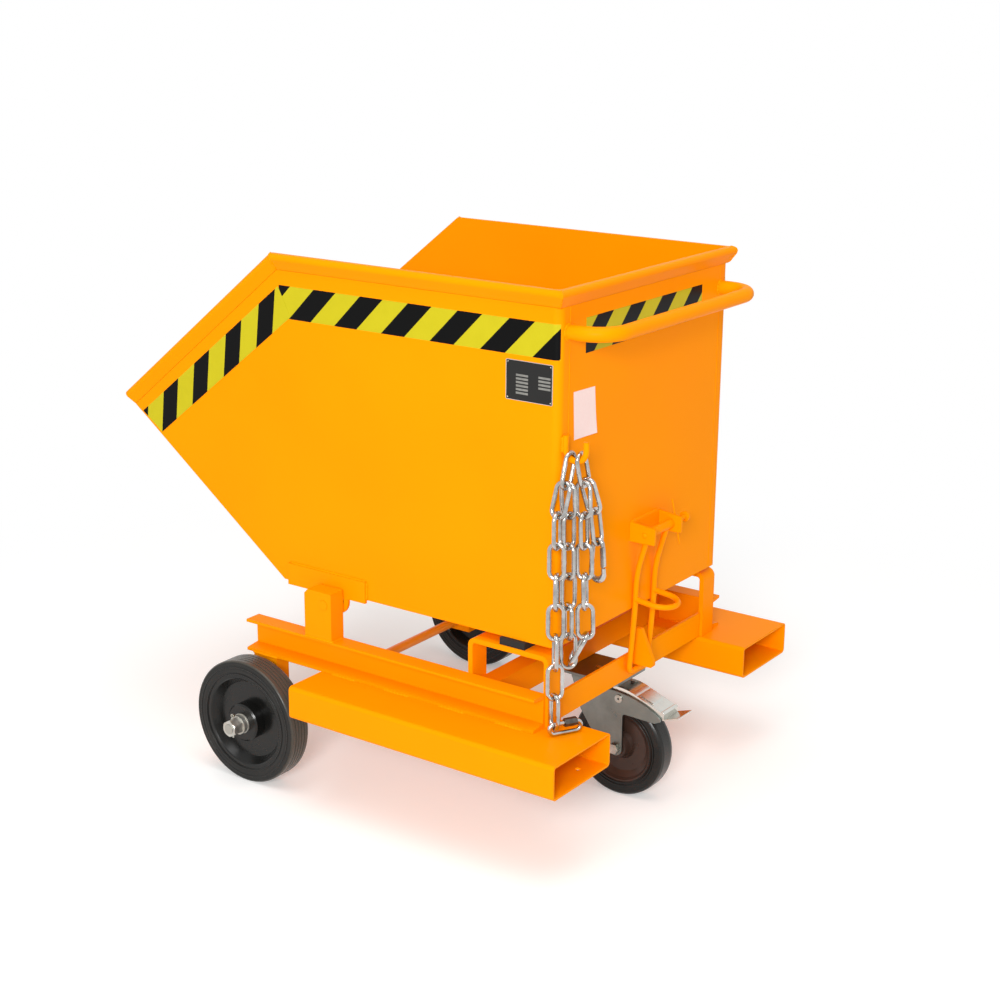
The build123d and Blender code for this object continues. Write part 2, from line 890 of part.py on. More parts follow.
def caster_rim():
    seat = caster_diameter / 2 - caster_tyre_band
    w = caster_width / 2
    hub = fork_inner - 1.5
    side = [
        (hub, bush_radius),
        (hub, bush_radius + 9),
        (w - 8, bush_radius + 13),
        (6, bush_radius + 18),
        (6, seat * 0.72),
        (w - 9, seat - 10),
        (w - 3, seat - 6),
        (w - 2, seat),
    ]
    return turned_y(caster_x, caster_z, wheel_profile(side, 0))


def caster_bush():
    hub = fork_inner - 1
    return tube_y(caster_x, caster_z, bush_radius, caster_axle_diameter / 2 + running_gap, -hub, hub)


def pedal_top(drop):
    """The pedal's top line from front to heel, as edges, lowered by drop."""
    x, z = pedal_pivot()
    points = [(x + u, z + v - drop) for u, v in (pedal_front, pedal_crown, pedal_knee, pedal_heel)]
    return ThreePointArc(*points[:3]) + Line(*points[2:])


def pedal_prism(outline, half_width):
    plane = Plane(origin=(0, half_width, 0), x_dir=(1, 0, 0), z_dir=(0, -1, 0))
    return extrude(plane * make_face(outline), 2 * half_width)


def pedal_hollow(half_width):
    """The open space under the pedal's top and ahead of its heel."""
    x, z = pedal_pivot()
    front = (x + pedal_front[0], z + pedal_front[1] - pedal_wall)
    heel = (x + pedal_heel[0], z + pedal_heel[1] - pedal_wall)
    low = z + pedal_hem[1] - arm_depth
    outline = pedal_top(pedal_wall) + Polyline(heel, (heel[0], low), (front[0], low), front)
    w = half_width + 1
    under = pedal_prism(outline, half_width)
    return under - block(heel[0] - pedal_wall, heel[0] + 1, -w, w, low - 1, heel[1] + 1)


def brake_pedal():
    x, z = pedal_pivot()
    w = fork_inner - pedal_play
    front = (x + pedal_front[0], z + pedal_front[1])
    heel = (x + pedal_heel[0], z + pedal_heel[1])
    hem = (x + pedal_hem[0], z + pedal_hem[1])
    skirt = [(x + u, z + v) for u, v in pedal_skirt]
    shell = pedal_prism(pedal_top(0) + Polyline(heel, hem, *skirt, front), w) - pedal_hollow(w - pedal_wall)
    tip = (x + pedal_length, hem[1] + pedal_tip_rise)
    tail = across([hem, tip, (tip[0], tip[1] + pedal_wall), (hem[0], hem[1] + pedal_wall)], -w, w)
    knee = (x + pedal_knee[0], z + pedal_knee[1])
    fall = (heel[1] - knee[1]) / (heel[0] - knee[0])
    pieces = [shell, tail]
    ends = (knee[0] + pedal_wall, heel[0] - pad_half_width * 1.5)
    for (start, end), half_width in ((ends, pad_half_width), ((heel[0] - 3 * pedal_wall, heel[0]), w)):
        low = [(u, knee[1] + (u - knee[0]) * fall) for u in (start, end)]
        upper = (end - pedal_wall, start + pedal_wall)
        high = [(u, knee[1] + (u - knee[0]) * fall + pedal_wall) for u in upper]
        pieces.append(across(low + high, -half_width, half_width))
    hole = bar_y(x, z, pedal_pin_diameter / 2 + running_gap, -w - 1, w + 1)
    return Part() + pieces - hole


def brake_shoe():
    """Rubber block under the pedal, hollowed to the tyre as it stands when the pedal is down."""
    x, z = pedal_pivot()
    w = caster_width * 0.35
    turn = radians(brake_angle)
    dx = caster_x - x
    dz = caster_z - z
    pressed_x = x + dx * cos(turn) - dz * sin(turn)
    pressed_z = z + dx * sin(turn) + dz * cos(turn)
    front = x + pedal_knee[0] / 2
    shoe = pedal_hollow(w) & block(front, front + shoe_length, -w, w, z - arm_depth, crown_top)
    return shoe - bar_y(pressed_x, pressed_z, caster_diameter / 2 + shoe_gap, -w - 1, w + 1)


def latch_bracket():
    low = latch_height - ear_drop
    high = latch_height + ear_rise
    half_span = ear_span / 2
    back = block(box_rear, box_rear + ear_thickness, -half_span, half_span, low, high)
    ear_outline = [
        (box_rear, low),
        (latch_x + ear_overhang, low + 1),
        (latch_x + ear_overhang + 1, high - ear_thickness),
        (box_rear, high),
    ]
    ear = across(ear_outline, -half_span - ear_thickness, -half_span)
    radius = latch_pin_diameter / 2 + running_gap
    ear = ear - bar_y(latch_x, latch_height, radius, -half_span - ear_thickness - 1, 1 - half_span)
    return back + ear + other_side(ear)


def latch_pin():
    end = ear_span / 2 + ear_thickness
    r = latch_pin_diameter / 2
    shaft = bar_y(latch_x, latch_height, r, 1 - end, end + latch_pin_free)
    head = bar_y(latch_x, latch_height, r * 2, end + latch_pin_free - r, end + latch_pin_free)
    return shaft + head - latch_split_hole()


def tilted_wire(radius, down, up):
    """A straight bar through the latch pin's free end, its top tilted to the wall."""
    y = ear_span / 2 + ear_thickness + latch_wire_setback
    return Pos(latch_x, y, latch_height) * Rot(0, -latch_wire_tilt, 0) * bar_z(0, 0, radius, -down, up)


def latch_split_hole():
    return tilted_wire(latch_wire * 0.55, latch_pin_diameter, latch_pin_diameter)


def latch_split_pin():
    return tilted_wire(latch_wire / 2, latch_wire_down, latch_wire_up)


def latch_bail():
    w = bail_span / 2
    r = bail_rod / 2
    foot_x = chassis_rear + r + bail_foot_gap
    knee = (box_rear + r + bail_wall_gap, latch_height - bail_knee_drop)
    path = FilletPolyline(
        (latch_x, -w, latch_height),
        (knee[0], -w, knee[1]),
        (foot_x, -w, bail_foot),
        (foot_x, w, bail_foot),
        (knee[0], w, knee[1]),
        (latch_x, w, latch_height),
        radius=[bail_knee_bend, bail_foot_bend, bail_foot_bend, bail_knee_bend],
    )
    rods = bent_rod(path, r)
    end = ear_span / 2 - bail_foot_gap
    sleeve = bar_y(latch_x, latch_height, bail_rod * 0.82, -end, end)
    grip_z = latch_height - grip_drop
    grip_x = knee[0] - r * 0.4
    turn = box_rear + grip_reach - grip_x
    grip_path = (
        Line((0, -w, 0), (turn, -w, 0))
        + ThreePointArc((turn, -w, 0), (turn + w, 0, 0), (turn, w, 0))
        + Line((turn, w, 0), (0, w, 0))
    )
    grip = Pos(grip_x, 0, grip_z) * Rot(0, grip_tilt, 0) * bent_rod(grip_path.wire(), r)
    bore = bar_y(latch_x, latch_height, latch_pin_diameter / 2 + running_gap, -ear_span, ear_span)
    return rods + sleeve + grip - bore


def latch_catch():
    """The hooked plate over the bail's foot."""
    under = bail_foot + bail_rod / 2 + catch_gap
    outline = [
        (chassis_rear, under),
        (chassis_rear + catch_reach - catch_gap, under),
        (chassis_rear + catch_reach, under + catch_gap),
        (chassis_rear + catch_reach, under + catch_height * 0.18),
        (chassis_rear + catch_reach * 0.4, under + catch_height),
        (chassis_rear, under + catch_height),
    ]
    return across(outline, -catch_thickness / 2, catch_thickness / 2)


def chain_hook():
    """The hook on the rear wall. It and the chain are drawn from the middle of its bow."""
    path = (
        Line((-hook_radius, 0, hook_shank), (-hook_radius, 0, 0))
        + ThreePointArc((-hook_radius, 0, 0), (0, 0, -hook_radius), (hook_radius, 0, 0))
        + Line((hook_radius, 0, 0), (hook_radius, 0, hook_nose))
    )
    return bent_rod(path.wire(), hook_bar / 2)


def chain_link():
    """One upright link: an eight-sided wire bent to a long ring with flats round its ends."""
    straight = chain_inner + chain_wire - 2 * link_radius
    corner = link_radius / cos(pi / 8)
    end = []
    for i in range(4):
        turn = pi / 8 + i * pi / 4
        end.append((corner * cos(turn), straight / 2 + corner * sin(turn)))
    path = Polyline((link_radius, 0), *end, *[(-x, -y) for x, y in end], close=True)
    plane = Plane(origin=(link_radius, 0, 0), x_dir=(1, 0, 0), z_dir=(0, 1, 0))
    return sweep(plane * RegularPolygon(chain_wire / 2, 8), path, transition=Transition.RIGHT)


def link_width(down, turn):
    """The way a link is wide: turned from +X about the upright, at a right angle to the link's length."""
    width = Vector(cos(radians(turn)), sin(radians(turn)), 0)
    return (width - down * width.dot(down)).normalized()


def placed_link(link, top, down, turn):
    """Move a link so that its upper wire is centred on top and its length runs down."""
    width = link_width(down, turn)
    middle = top + down * ((chain_inner + chain_wire) / 2)
    return Plane(origin=middle, x_dir=width, z_dir=width.cross(-down)).location * link


def hung_link(side):
    """A link on the hook's bow, leaning out a little: its upper wire, its way down and its low bend."""
    bow = hook_radius - hook_bar / 2 - chain_wire / 2 - 2 * link_slack
    top = Vector(side * hung_apart, 0, -sqrt(bow**2 - hung_apart**2))
    lean = radians(hung_lean)
    down = Vector(0, side * sin(lean), -cos(lean))
    bend = top + down * (chain_inner + chain_wire - link_radius)
    return top, down, bend


def strand_start(side, part):
    """Where a strand's first wire lies in the low bend of a hung link."""
    top, down, bend = hung_link(side)
    lean = radians(hung_lean)
    along = Vector(0, cos(lean), side * sin(lean))
    return bend + along * (part * start_apart) + down * start_drop


def strand(start, knee, end, count, twist):
    """Upper wire, way down and turn of each link: the first one to the knee, the others straight to the end."""
    touch = (chain_wire + link_slack) / 2
    down = (knee - start).normalized()
    joint = start + down * touch
    places = []
    for i in range(count):
        if i == 1:
            down = (end - joint).normalized()
        places.append((joint - down * touch, down, i * (90 + twist)))
        joint = joint + down * chain_pitch
    return places, joint, count * (90 + twist)


def from_bow(x, y, drop):
    """A point given from the hook's bow: out from it, across and down."""
    return Vector(x, y, -drop)


def long_strand():
    return strand(strand_start(-1, -1), from_bow(*long_knee), from_bow(*long_end), 8, long_twist)


def tail_strand():
    return strand(strand_start(1, 1), from_bow(*tail_knee), from_bow(*tail_end), 2, 0)


def loop_strands():
    """The two strands of the hanging loop with their lowest links, which lean together and hold each other."""
    near_start = strand_start(-1, 1)
    far_start = strand_start(1, -1)
    near, near_joint, near_turn = strand(near_start, from_bow(*near_knee), from_bow(*near_end), 5, near_twist)
    far, far_joint, far_turn = strand(far_start, from_bow(*far_knee), from_bow(*far_end), 5, far_twist)
    apart = Vector(far_joint.X - near_joint.X, far_joint.Y - near_joint.Y, 0).normalized()
    touch = (chain_wire + link_slack) / 2
    for places, joint, turn, lean, lift, sign in (
        (near, near_joint, near_turn, near_lean, near_lift, 1),
        (far, far_joint, far_turn, far_lean, far_lift, -1),
    ):
        down = Vector(0, 0, -cos(radians(lean))) + apart * (sign * sin(radians(lean)))
        places.append((joint - down * (touch + lift), down, turn))
    return near + far


def chain():
    link = chain_link()
    links = []
    for side in (-1, 1):
        top, down, bend = hung_link(side)
        links.append(placed_link(link, top, down, 90))
    for top, down, turn in long_strand()[0] + tail_strand()[0] + loop_strands():
        links.append(placed_link(link, top, down, turn))
    return Compound(children=links)


def snap_plane():
    """The snap hook's own plane: its origin in the eye, across it to the gate, and up."""
    places, joint, turn = tail_strand()
    width = link_width(Vector(0, 0, -1), turn)
    if width.X < 0:
        width = -width
    touch = (chain_wire + link_slack) / 2
    eye = joint + Vector(0, 0, touch + link_slack - snap_eye)
    return Plane(origin=eye, x_dir=width, z_dir=width.cross(Vector(0, 0, 1)))


def snap_points():
    """On the gate's side: where the eye's bend and the bow's bend meet the straight, and the way down it."""
    lean = asin((snap_bow - snap_eye) / snap_drop)
    eye = Vector(snap_eye * cos(lean), snap_eye * sin(lean))
    bow = Vector(snap_bow * cos(lean), snap_bow * sin(lean) - snap_drop)
    return eye, bow, (bow - eye).normalized()


def snap_hook():
    eye, bow, along = snap_points()
    heel = eye + along * snap_heel
    nose = bow - along * snap_nose
    eye_left = Vector(-eye.X, eye.Y)
    bow_left = Vector(-bow.X, bow.Y)
    path = (
        Line(heel, eye)
        + ThreePointArc(eye, (0, snap_eye), eye_left)
        + Line(eye_left, bow_left)
        + ThreePointArc(bow_left, (0, -snap_drop - snap_bow), bow)
        + Line(bow, nose)
    )
    return bent_rod((snap_plane().location * path).wire(), snap_wire / 2)


def snap_gate():
    eye, bow, along = snap_points()
    r = snap_wire / 2 - 0.5
    first = eye + along * (snap_heel + gate_gap + r)
    last = bow - along * (snap_nose + gate_gap + r)
    side = Vector(-along.Y, along.X) * r
    outline = (
        Line(first + side, last + side)
        + ThreePointArc(last + side, last + along * r, last - side)
        + Line(last - side, first - side)
        + ThreePointArc(first - side, first - along * r, first + side)
    )
    plane = snap_plane()
    return plane.location * Pos(0, 0, -r) * extrude(make_face(outline), 2 * r)


def quick_plane():
    """The quick link's plane: its origin at the chain's last wire, along it away from the chain, and up."""
    places, joint, turn = long_strand()
    top, down, last_turn = places[-1]
    width = link_width(Vector(0, 0, -1), last_turn)
    along = Vector(width.Y, -width.X, 0)
    if along.X < 0:
        along = -along
    wire = top + down * (chain_inner + chain_wire)
    low = quick_bend - chain_wire - link_slack
    return Plane(origin=(wire.X, wire.Y, wire.Z - low), x_dir=along, z_dir=along.cross(Vector(0, 0, 1)))


def quick_link():
    r = quick_bend
    path = (
        Line((quick_gap_end, r), (quick_length, r))
        + ThreePointArc((quick_length, r), (quick_length + r, 0), (quick_length, -r))
        + Line((quick_length, -r), (0, -r))
        + ThreePointArc((0, -r), (-r, 0), (0, r))
        + Line((0, r), (quick_gap_start, r))
    )
    return bent_rod((quick_plane().location * path).wire(), chain_wire / 2)


def quick_link_nut():
    plane = quick_plane()
    start = plane.location * Pos(quick_gap_start - quick_nut_cover, quick_bend, 0) * Rot(0, 90, 0)
    nut = extrude(RegularPolygon(quick_nut / 2, 6, major_radius=False), quick_nut_length)
    bore = Pos(0, 0, quick_nut_length / 2) * Cylinder(chain_wire / 2 + running_gap, quick_nut_length + 2)
    return start * (nut - bore)


def on_latch(shape):
    """Move a piece of the latch to its place, a little off the trolley's middle."""
    return Pos(0, latch_shift, 0) * shape


def on_wall(shape):
    """Move a piece from the hook's frame to the rear wall, with the quick link just on a fork pocket."""
    low = quick_plane().origin.Z - quick_bend - chain_wire / 2
    out = box_rear + hook_bar / 2 + hook_radius
    return Pos(out, corner_radius - half, deck_height + chain_rest - low) * shape


def main():
    os.makedirs("parts", exist_ok=True)
    save_pair("side_panel", side_panel())
    save("rear_panel", rear_panel())
    save("skip_floor", skip_floor())
    save("skip_chute", skip_chute())
    save_pair("rim", rim_side())
    save("rim_rear", rim_rear())
    save("push_handle", push_handle())
    save_pair("hinge_bracket", hinge_bracket())
    save_pair("hinge_post", hinge_post())
    save("hinge_pins", hinge_pins())
    save("hinge_washers", hinge_washers())
    save_pair("channel", channel())
    save_pair("fork_pocket", fork_pocket())
    save("caster_cross_member", caster_cross_member())
    save("rear_crossbar", rear_crossbar())
    save_pair("rest_frame", rest_frame())
    save("rest_pads", rest_pads())
    save_pair("axle_bracket", axle_bracket())
    save("wheel_axle", wheel_axle())
    save("axle_spacers", axle_spacers())
    save("axle_collars", axle_collars())
    save("axle_split_pins", axle_split_pins())
    save_pair("front_tyre", front_tyre())
    save_pair("front_rim", front_rim())
    save_pair("front_bearing", front_bearing())
    save("caster_plate", caster_plate())
    save("caster_bolts", caster_bolts())
    save("caster_kingpin", caster_kingpin())
    save("swivel_race", swivel_race())
    save("caster_fork", caster_fork())
    save("caster_axle", caster_axle())
    save("pedal_pin", pedal_pin())
    save("caster_tyre", caster_tyre())
    save("caster_rim", caster_rim())
    save("caster_bush", caster_bush())
    save("brake_pedal", brake_pedal())
    save("brake_shoe", brake_shoe())
    save("latch_bracket", on_latch(latch_bracket()))
    save("latch_pin", on_latch(latch_pin()))
    save("latch_split_pin", on_latch(latch_split_pin()))
    save("latch_bail", on_latch(latch_bail()))
    save("latch_catch", latch_catch())
    save("chain_hook", on_wall(chain_hook()))
    save("chain", on_wall(chain()))
    save("snap_hook", on_wall(snap_hook()))
    save("snap_gate", on_wall(snap_gate()))
    save("quick_link", on_wall(quick_link()))
    save("quick_link_nut", on_wall(quick_link_nut()))


main()
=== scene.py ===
import bpy
import math
import numpy as np
from mathutils import Matrix, Vector


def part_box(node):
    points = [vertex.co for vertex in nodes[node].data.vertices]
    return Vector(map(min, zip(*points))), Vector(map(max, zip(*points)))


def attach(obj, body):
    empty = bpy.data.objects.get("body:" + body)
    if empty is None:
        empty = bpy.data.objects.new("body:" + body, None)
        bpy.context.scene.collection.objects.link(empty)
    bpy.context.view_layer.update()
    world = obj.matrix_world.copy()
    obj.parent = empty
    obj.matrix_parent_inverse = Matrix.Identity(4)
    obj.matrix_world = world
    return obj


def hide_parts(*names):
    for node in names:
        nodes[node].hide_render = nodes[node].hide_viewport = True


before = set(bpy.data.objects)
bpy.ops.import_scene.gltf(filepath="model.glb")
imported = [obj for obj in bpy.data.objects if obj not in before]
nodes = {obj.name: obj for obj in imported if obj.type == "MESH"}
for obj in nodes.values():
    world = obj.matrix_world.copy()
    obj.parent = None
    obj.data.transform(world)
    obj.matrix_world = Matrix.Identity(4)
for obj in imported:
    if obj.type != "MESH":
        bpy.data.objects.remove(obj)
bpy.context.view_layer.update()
print("frame loaded:", len(nodes), "nodes")

mm = 0.001
fullTurn = 2 * np.pi
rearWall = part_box("rear_panel")[1].x  # outer face of the box's rear wall
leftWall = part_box("hinge_bracket_left")[1].y  # outer face of the left wall, negative
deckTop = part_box("fork_pocket_left")[1].z
rng = np.random.default_rng(7)


def boxOf(node):  # a node's lowest and highest corners as arrays
    return tuple(np.array(corner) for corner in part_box(node))


def middleOf(node):
    low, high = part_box(node)
    return (low + high) / 2


def linear(code):  # sRGB hex to linear: ((c + 0.055) / 1.055) ^ 2.4 above the toe
    c = np.array([int(code[i:i + 2], 16) for i in (1, 3, 5)]) / 255
    return (*np.where(c > 0.04045, ((c + 0.055) / 1.055) ** 2.4, c / 12.92).tolist(), 1.0)


def setInputs(tree, node, inputs):  # each socket gets its value, or a link where the value is another socket
    for key, value in inputs.items():
        if isinstance(value, bpy.types.NodeSocket):
            tree.links.new(value, node.inputs[key])
        else:
            node.inputs[key].default_value = value


def addNode(tree, kind, inputs=None, **settings):  # one node with its settings, values and links
    node = tree.nodes.new("ShaderNode" + kind)
    for key, value in settings.items():
        setattr(node, key, value)
    setInputs(tree, node, inputs or {})
    return node


def startMaterial(name, **sockets):  # a Principled material with its constant sockets set
    material = bpy.data.materials.new(name)
    material.use_nodes = True
    tree = material.node_tree
    shader = tree.nodes["Principled BSDF"]
    setInputs(tree, shader, sockets)
    place = addNode(tree, "TexCoord").outputs["Object"]
    return material, tree, shader, place


def perMetre(size):  # how many features of that many millimetres there are in a metre
    return 1000 / size


def noisy(size, detail):  # a noise's scale and detail for features of that many millimetres
    return {"Scale": perMetre(size), "Detail": detail}


def span(name, ends):  # the least and the most of a range, by socket
    return {name + " Min": ends[0], name + " Max": ends[1]}


mixBy, mixFrom, mixTo, mixOut = 0, 6, 7, 2  # sockets of a colour mix

# Powder-coated steel: sprayed powder baked to an even skin with orange peel; bends look softened. Its IOR is
# low because the room it mirrors is white, which would veil the orange
coat = {"deep": "#FF8F00", "bright": "#FF9900", "ior": 1.1, "rough": (0.32, 0.44), "roughFrom": (0.3, 0.7),
        "mottle": (260, 3.0), "peel": (2.6, 1.0), "peelDepth": 0.05, "peelStrength": 0.35, "edge": 1.3,
        "edgeSamples": 4}  # a noise is (size in mm, detail)


def powderCoat():
    material, tree, shader, place = startMaterial("powder_coated_steel_orange", IOR=coat["ior"])
    mottle = addNode(tree, "TexNoise", {"Vector": place, **noisy(*coat["mottle"])})
    peel = addNode(tree, "TexNoise", {"Vector": place, **noisy(*coat["peel"])})
    colour = addNode(tree, "Mix", {mixBy: mottle.outputs["Fac"], mixFrom: linear(coat["deep"]),
                                   mixTo: linear(coat["bright"])}, data_type="RGBA")
    rough = addNode(tree, "MapRange", {"Value": mottle.outputs["Fac"],
                                       **span("From", coat["roughFrom"]), **span("To", coat["rough"])})
    soft = addNode(tree, "Bevel", {"Radius": coat["edge"] * mm}, samples=coat["edgeSamples"])
    bump = addNode(tree, "Bump", {"Height": peel.outputs["Fac"], "Distance": coat["peelDepth"] * mm,
                                  "Strength": coat["peelStrength"], "Normal": soft.outputs[0]})
    setInputs(tree, shader, {"Base Color": colour.outputs[mixOut], "Roughness": rough.outputs[0],
                             "Normal": bump.outputs[0]})
    return material


# Zinc-plated steel: blue-grey plate, its passivation clouded warm and green, its drawn grain coarsened to show
plating = {  # dark, pale and stained colour, roughness from and to; cloud, grain, its depth and edge in mm
    "zinc_plated_pressing": ("#666C6A", "#878E8A", "#7D7E78", 0.26, 0.42, 60, 1.2, 0.02, 0.8),
    # the pedal: a paler, glossier copy of the pressing's plating, a painted highlight for the light its top
    # catches
    "zinc_treadle_painted_highlight": ("#C4C5C0", "#DEDED8", "#D6D2C8", 0.14, 0.24, 70, 2.0, 0.004, 0.6),
    "zinc_plated_hardware": ("#96958E", "#BDBCB5", "#B5AC98", 0.2, 0.36, 12, 0.8, 0.02, 0.4),
    "galvanised_chain_steel": ("#9B9A97", "#D2D1CE", "#BDB8B2", 0.1, 0.2, 30, 1.0, 0.01, 0.4),
    "dull_zinc_collar": ("#A9A8A2", "#CFCEC8", "#C3BDB0", 0.4, 0.52, 12, 0.8, 0.02, 0.6),
    "dull_nut_steel": ("#4B4946", "#66635E", "#6B6157", 0.38, 0.5, 8, 0.8, 0.03, 0.4),
    "oiled_bearing_steel": ("#6F6D68", "#87857F", "#7F776A", 0.3, 0.42, 10, 0.8, 0.03, 0.4),
    "bare_plate_metal": ("#8F8E89", "#A3A29C", "#9A978F", 0.4, 0.5, 9, 0.8, 0.03, 0.05),
}
clouding = {"detail": 4.0, "uneven": 0.6, "level": (0.32, 0.68), "roughFrom": (0.3, 0.7), "grainDetail": 2.0,
            "grainStrength": 0.3, "stainSize": 1.7, "stainDetail": 2.0, "stainSeed": 3.0,
            "stainFrom": (0.45, 0.7), "stainShare": (0, 0.6), "edgeSamples": 4}


def zincPlate(name):
    dark, pale, tint, roughLow, roughHigh, cloud, grain, depth, edge = plating[name]
    material, tree, shader, place = startMaterial(name, Metallic=1.0)
    cloudy = addNode(tree, "TexNoise", {"Vector": place, **noisy(cloud, clouding["detail"]),
                                        "Roughness": clouding["uneven"]})
    level = addNode(tree, "MapRange", {"Value": cloudy.outputs["Fac"], **span("From", clouding["level"])})
    stain = addNode(tree, "TexNoise", {"Vector": place, "W": clouding["stainSeed"],
                                       **noisy(cloud * clouding["stainSize"], clouding["stainDetail"])},
                    noise_dimensions="4D")
    share = addNode(tree, "MapRange", {"Value": stain.outputs["Fac"], **span("From", clouding["stainFrom"]),
                                       **span("To", clouding["stainShare"])})
    fine = addNode(tree, "TexNoise", {"Vector": place, **noisy(grain, clouding["grainDetail"])})
    plain = addNode(tree, "Mix", {mixBy: level.outputs[0], mixFrom: linear(dark), mixTo: linear(pale)},
                    data_type="RGBA")
    colour = addNode(tree, "Mix", {mixBy: share.outputs[0], mixFrom: plain.outputs[mixOut],
                                   mixTo: linear(tint)}, data_type="RGBA")
    rough = addNode(tree, "MapRange", {"Value": cloudy.outputs["Fac"], **span("From", clouding["roughFrom"]),
                                       **span("To", (roughLow, roughHigh))})
    soft = addNode(tree, "Bevel", {"Radius": edge * mm}, samples=clouding["edgeSamples"])
    bump = addNode(tree, "Bump", {"Height": fine.outputs["Fac"], "Distance": depth * mm,
                                  "Strength": clouding["grainStrength"], "Normal": soft.outputs[0]})
    setInputs(tree, shader, {"Base Color": colour.outputs[mixOut], "Roughness": rough.outputs[0],
                             "Normal": bump.outputs[0]})
    return material


# The wheel axle: bare plated ends outside the brackets, overspray of the orange coat between them
axle = {"orange": "#FF9A00", "zinc": "#A7A69F", "from": 340, "rough": (0.28, 0.45), "cloud": (14, 3.0)}


def axleSteel():
    material, tree, shader, place = startMaterial("drawn_axle_steel")
    split = addNode(tree, "SeparateXYZ", {"Vector": place})
    away = addNode(tree, "Math", {0: split.outputs["Y"]}, operation="ABSOLUTE")
    bare = addNode(tree, "Math", {0: away.outputs[0], 1: axle["from"] * mm}, operation="GREATER_THAN")
    cloudy = addNode(tree, "TexNoise", {"Vector": place, **noisy(*axle["cloud"])})
    rough = addNode(tree, "MapRange", {"Value": cloudy.outputs["Fac"], **span("To", axle["rough"])})
    colour = addNode(tree, "Mix", {mixBy: bare.outputs[0], mixFrom: linear(axle["orange"]),
                                   mixTo: linear(axle["zinc"])}, data_type="RGBA")
    setInputs(tree, shader, {"Base Color": colour.outputs[mixOut], "Roughness": rough.outputs[0],
                             "Metallic": bare.outputs[0]})
    return material


# Moulded solid rubber: dull black, faint dust and fine turned rings on its wall; the outer band of its tread
# is painted paler, a painted sheen on the front tyres and the dust colour on the caster; the rings follow
# sin(2 pi r / ring), with r the distance from the axle; the speckle is coarsened to show
tyre = {"black": "#0E0E0D", "dust": "#1D1C19", "treadSheenAndDust": "#4B4841", "treadDepth": 4.0, "ior": 1.36,
        "rough": (0.22, 0.36), "ring": 7.0, "ringDepth": 0.18, "ringStrength": 0.5, "speckle": (1.6, 2.0),
        "speckleDepth": 0.1, "speckleStrength": 0.4, "cloud": (45, 5.0), "dustFrom": (0.35, 0.75)}


def solidRubber(name, centre, outer, treadSheenAndDust):
    material, tree, shader, place = startMaterial(name, IOR=tyre["ior"])
    local = addNode(tree, "Mapping", {"Vector": place, "Location": [-c for c in centre]})
    split = addNode(tree, "SeparateXYZ", {"Vector": local.outputs[0]})
    flat = addNode(tree, "CombineXYZ", {"X": split.outputs["X"], "Z": split.outputs["Z"]})
    radius = addNode(tree, "VectorMath", {0: flat.outputs[0]}, operation="LENGTH")
    turns = addNode(tree, "Math", {0: radius.outputs["Value"], 1: fullTurn * perMetre(tyre["ring"])},
                    operation="MULTIPLY")
    rings = addNode(tree, "Math", {0: turns.outputs[0]}, operation="SINE")
    cloudy = addNode(tree, "TexNoise", {"Vector": place, **noisy(*tyre["cloud"])})
    speckle = addNode(tree, "TexNoise", {"Vector": place, **noisy(*tyre["speckle"])})
    dust = addNode(tree, "MapRange", {"Value": cloudy.outputs["Fac"], **span("From", tyre["dustFrom"])})
    rough = addNode(tree, "MapRange", {"Value": speckle.outputs["Fac"], **span("To", tyre["rough"])})
    ringBump = addNode(tree, "Bump", {"Height": rings.outputs[0], "Distance": tyre["ringDepth"] * mm,
                                      "Strength": tyre["ringStrength"]})
    bump = addNode(tree, "Bump", {"Height": speckle.outputs["Fac"], "Distance": tyre["speckleDepth"] * mm,
                                  "Strength": tyre["speckleStrength"], "Normal": ringBump.outputs[0]})
    # the outer tread band: painted sheen on the front tyres, dust colour on the caster
    paleTreadBand = addNode(tree, "MapRange", {"Value": radius.outputs["Value"],
                                        **span("From", (outer - tyre["treadDepth"] * mm, outer))})
    wall = addNode(tree, "Mix", {mixBy: dust.outputs[0], mixFrom: linear(tyre["black"]),
                                 mixTo: linear(tyre["dust"])}, data_type="RGBA")
    colour = addNode(tree, "Mix", {mixBy: paleTreadBand.outputs[0], mixFrom: wall.outputs[mixOut],
                                   mixTo: linear(treadSheenAndDust)}, data_type="RGBA")
    setInputs(tree, shader, {"Base Color": colour.outputs[mixOut], "Roughness": rough.outputs[0],
                             "Normal": bump.outputs[0]})
    return material


# Moulded wheel centres and cut rubber: the front centres black nylon, the caster's dark with a brown cast that
# is a painted reflection of the orange paint; spark texture from the mould, coarsened to show, and faint
# clouds
moulded = {  # dark and pale colour, least and most roughness, spark size in mm
    "black_nylon_wheel_centre": ("#0C0C0B", "#161614", 0.18, 0.3, 1.4),
    # the caster's centre: dark, its brown cast a painted reflection of the orange paint
    "dark_wheel_centre_painted_reflection": ("#2D1F18", "#46322A", 0.24, 0.36, 1.4),
    "cut_rubber": ("#191918", "#262625", 0.62, 0.78, 1.8),
}
spark = {"ior": 1.38, "detail": 2.0, "depth": 0.06, "strength": 0.4, "cloud": (40, 3.0),
         "roughFrom": (0.3, 0.7)}


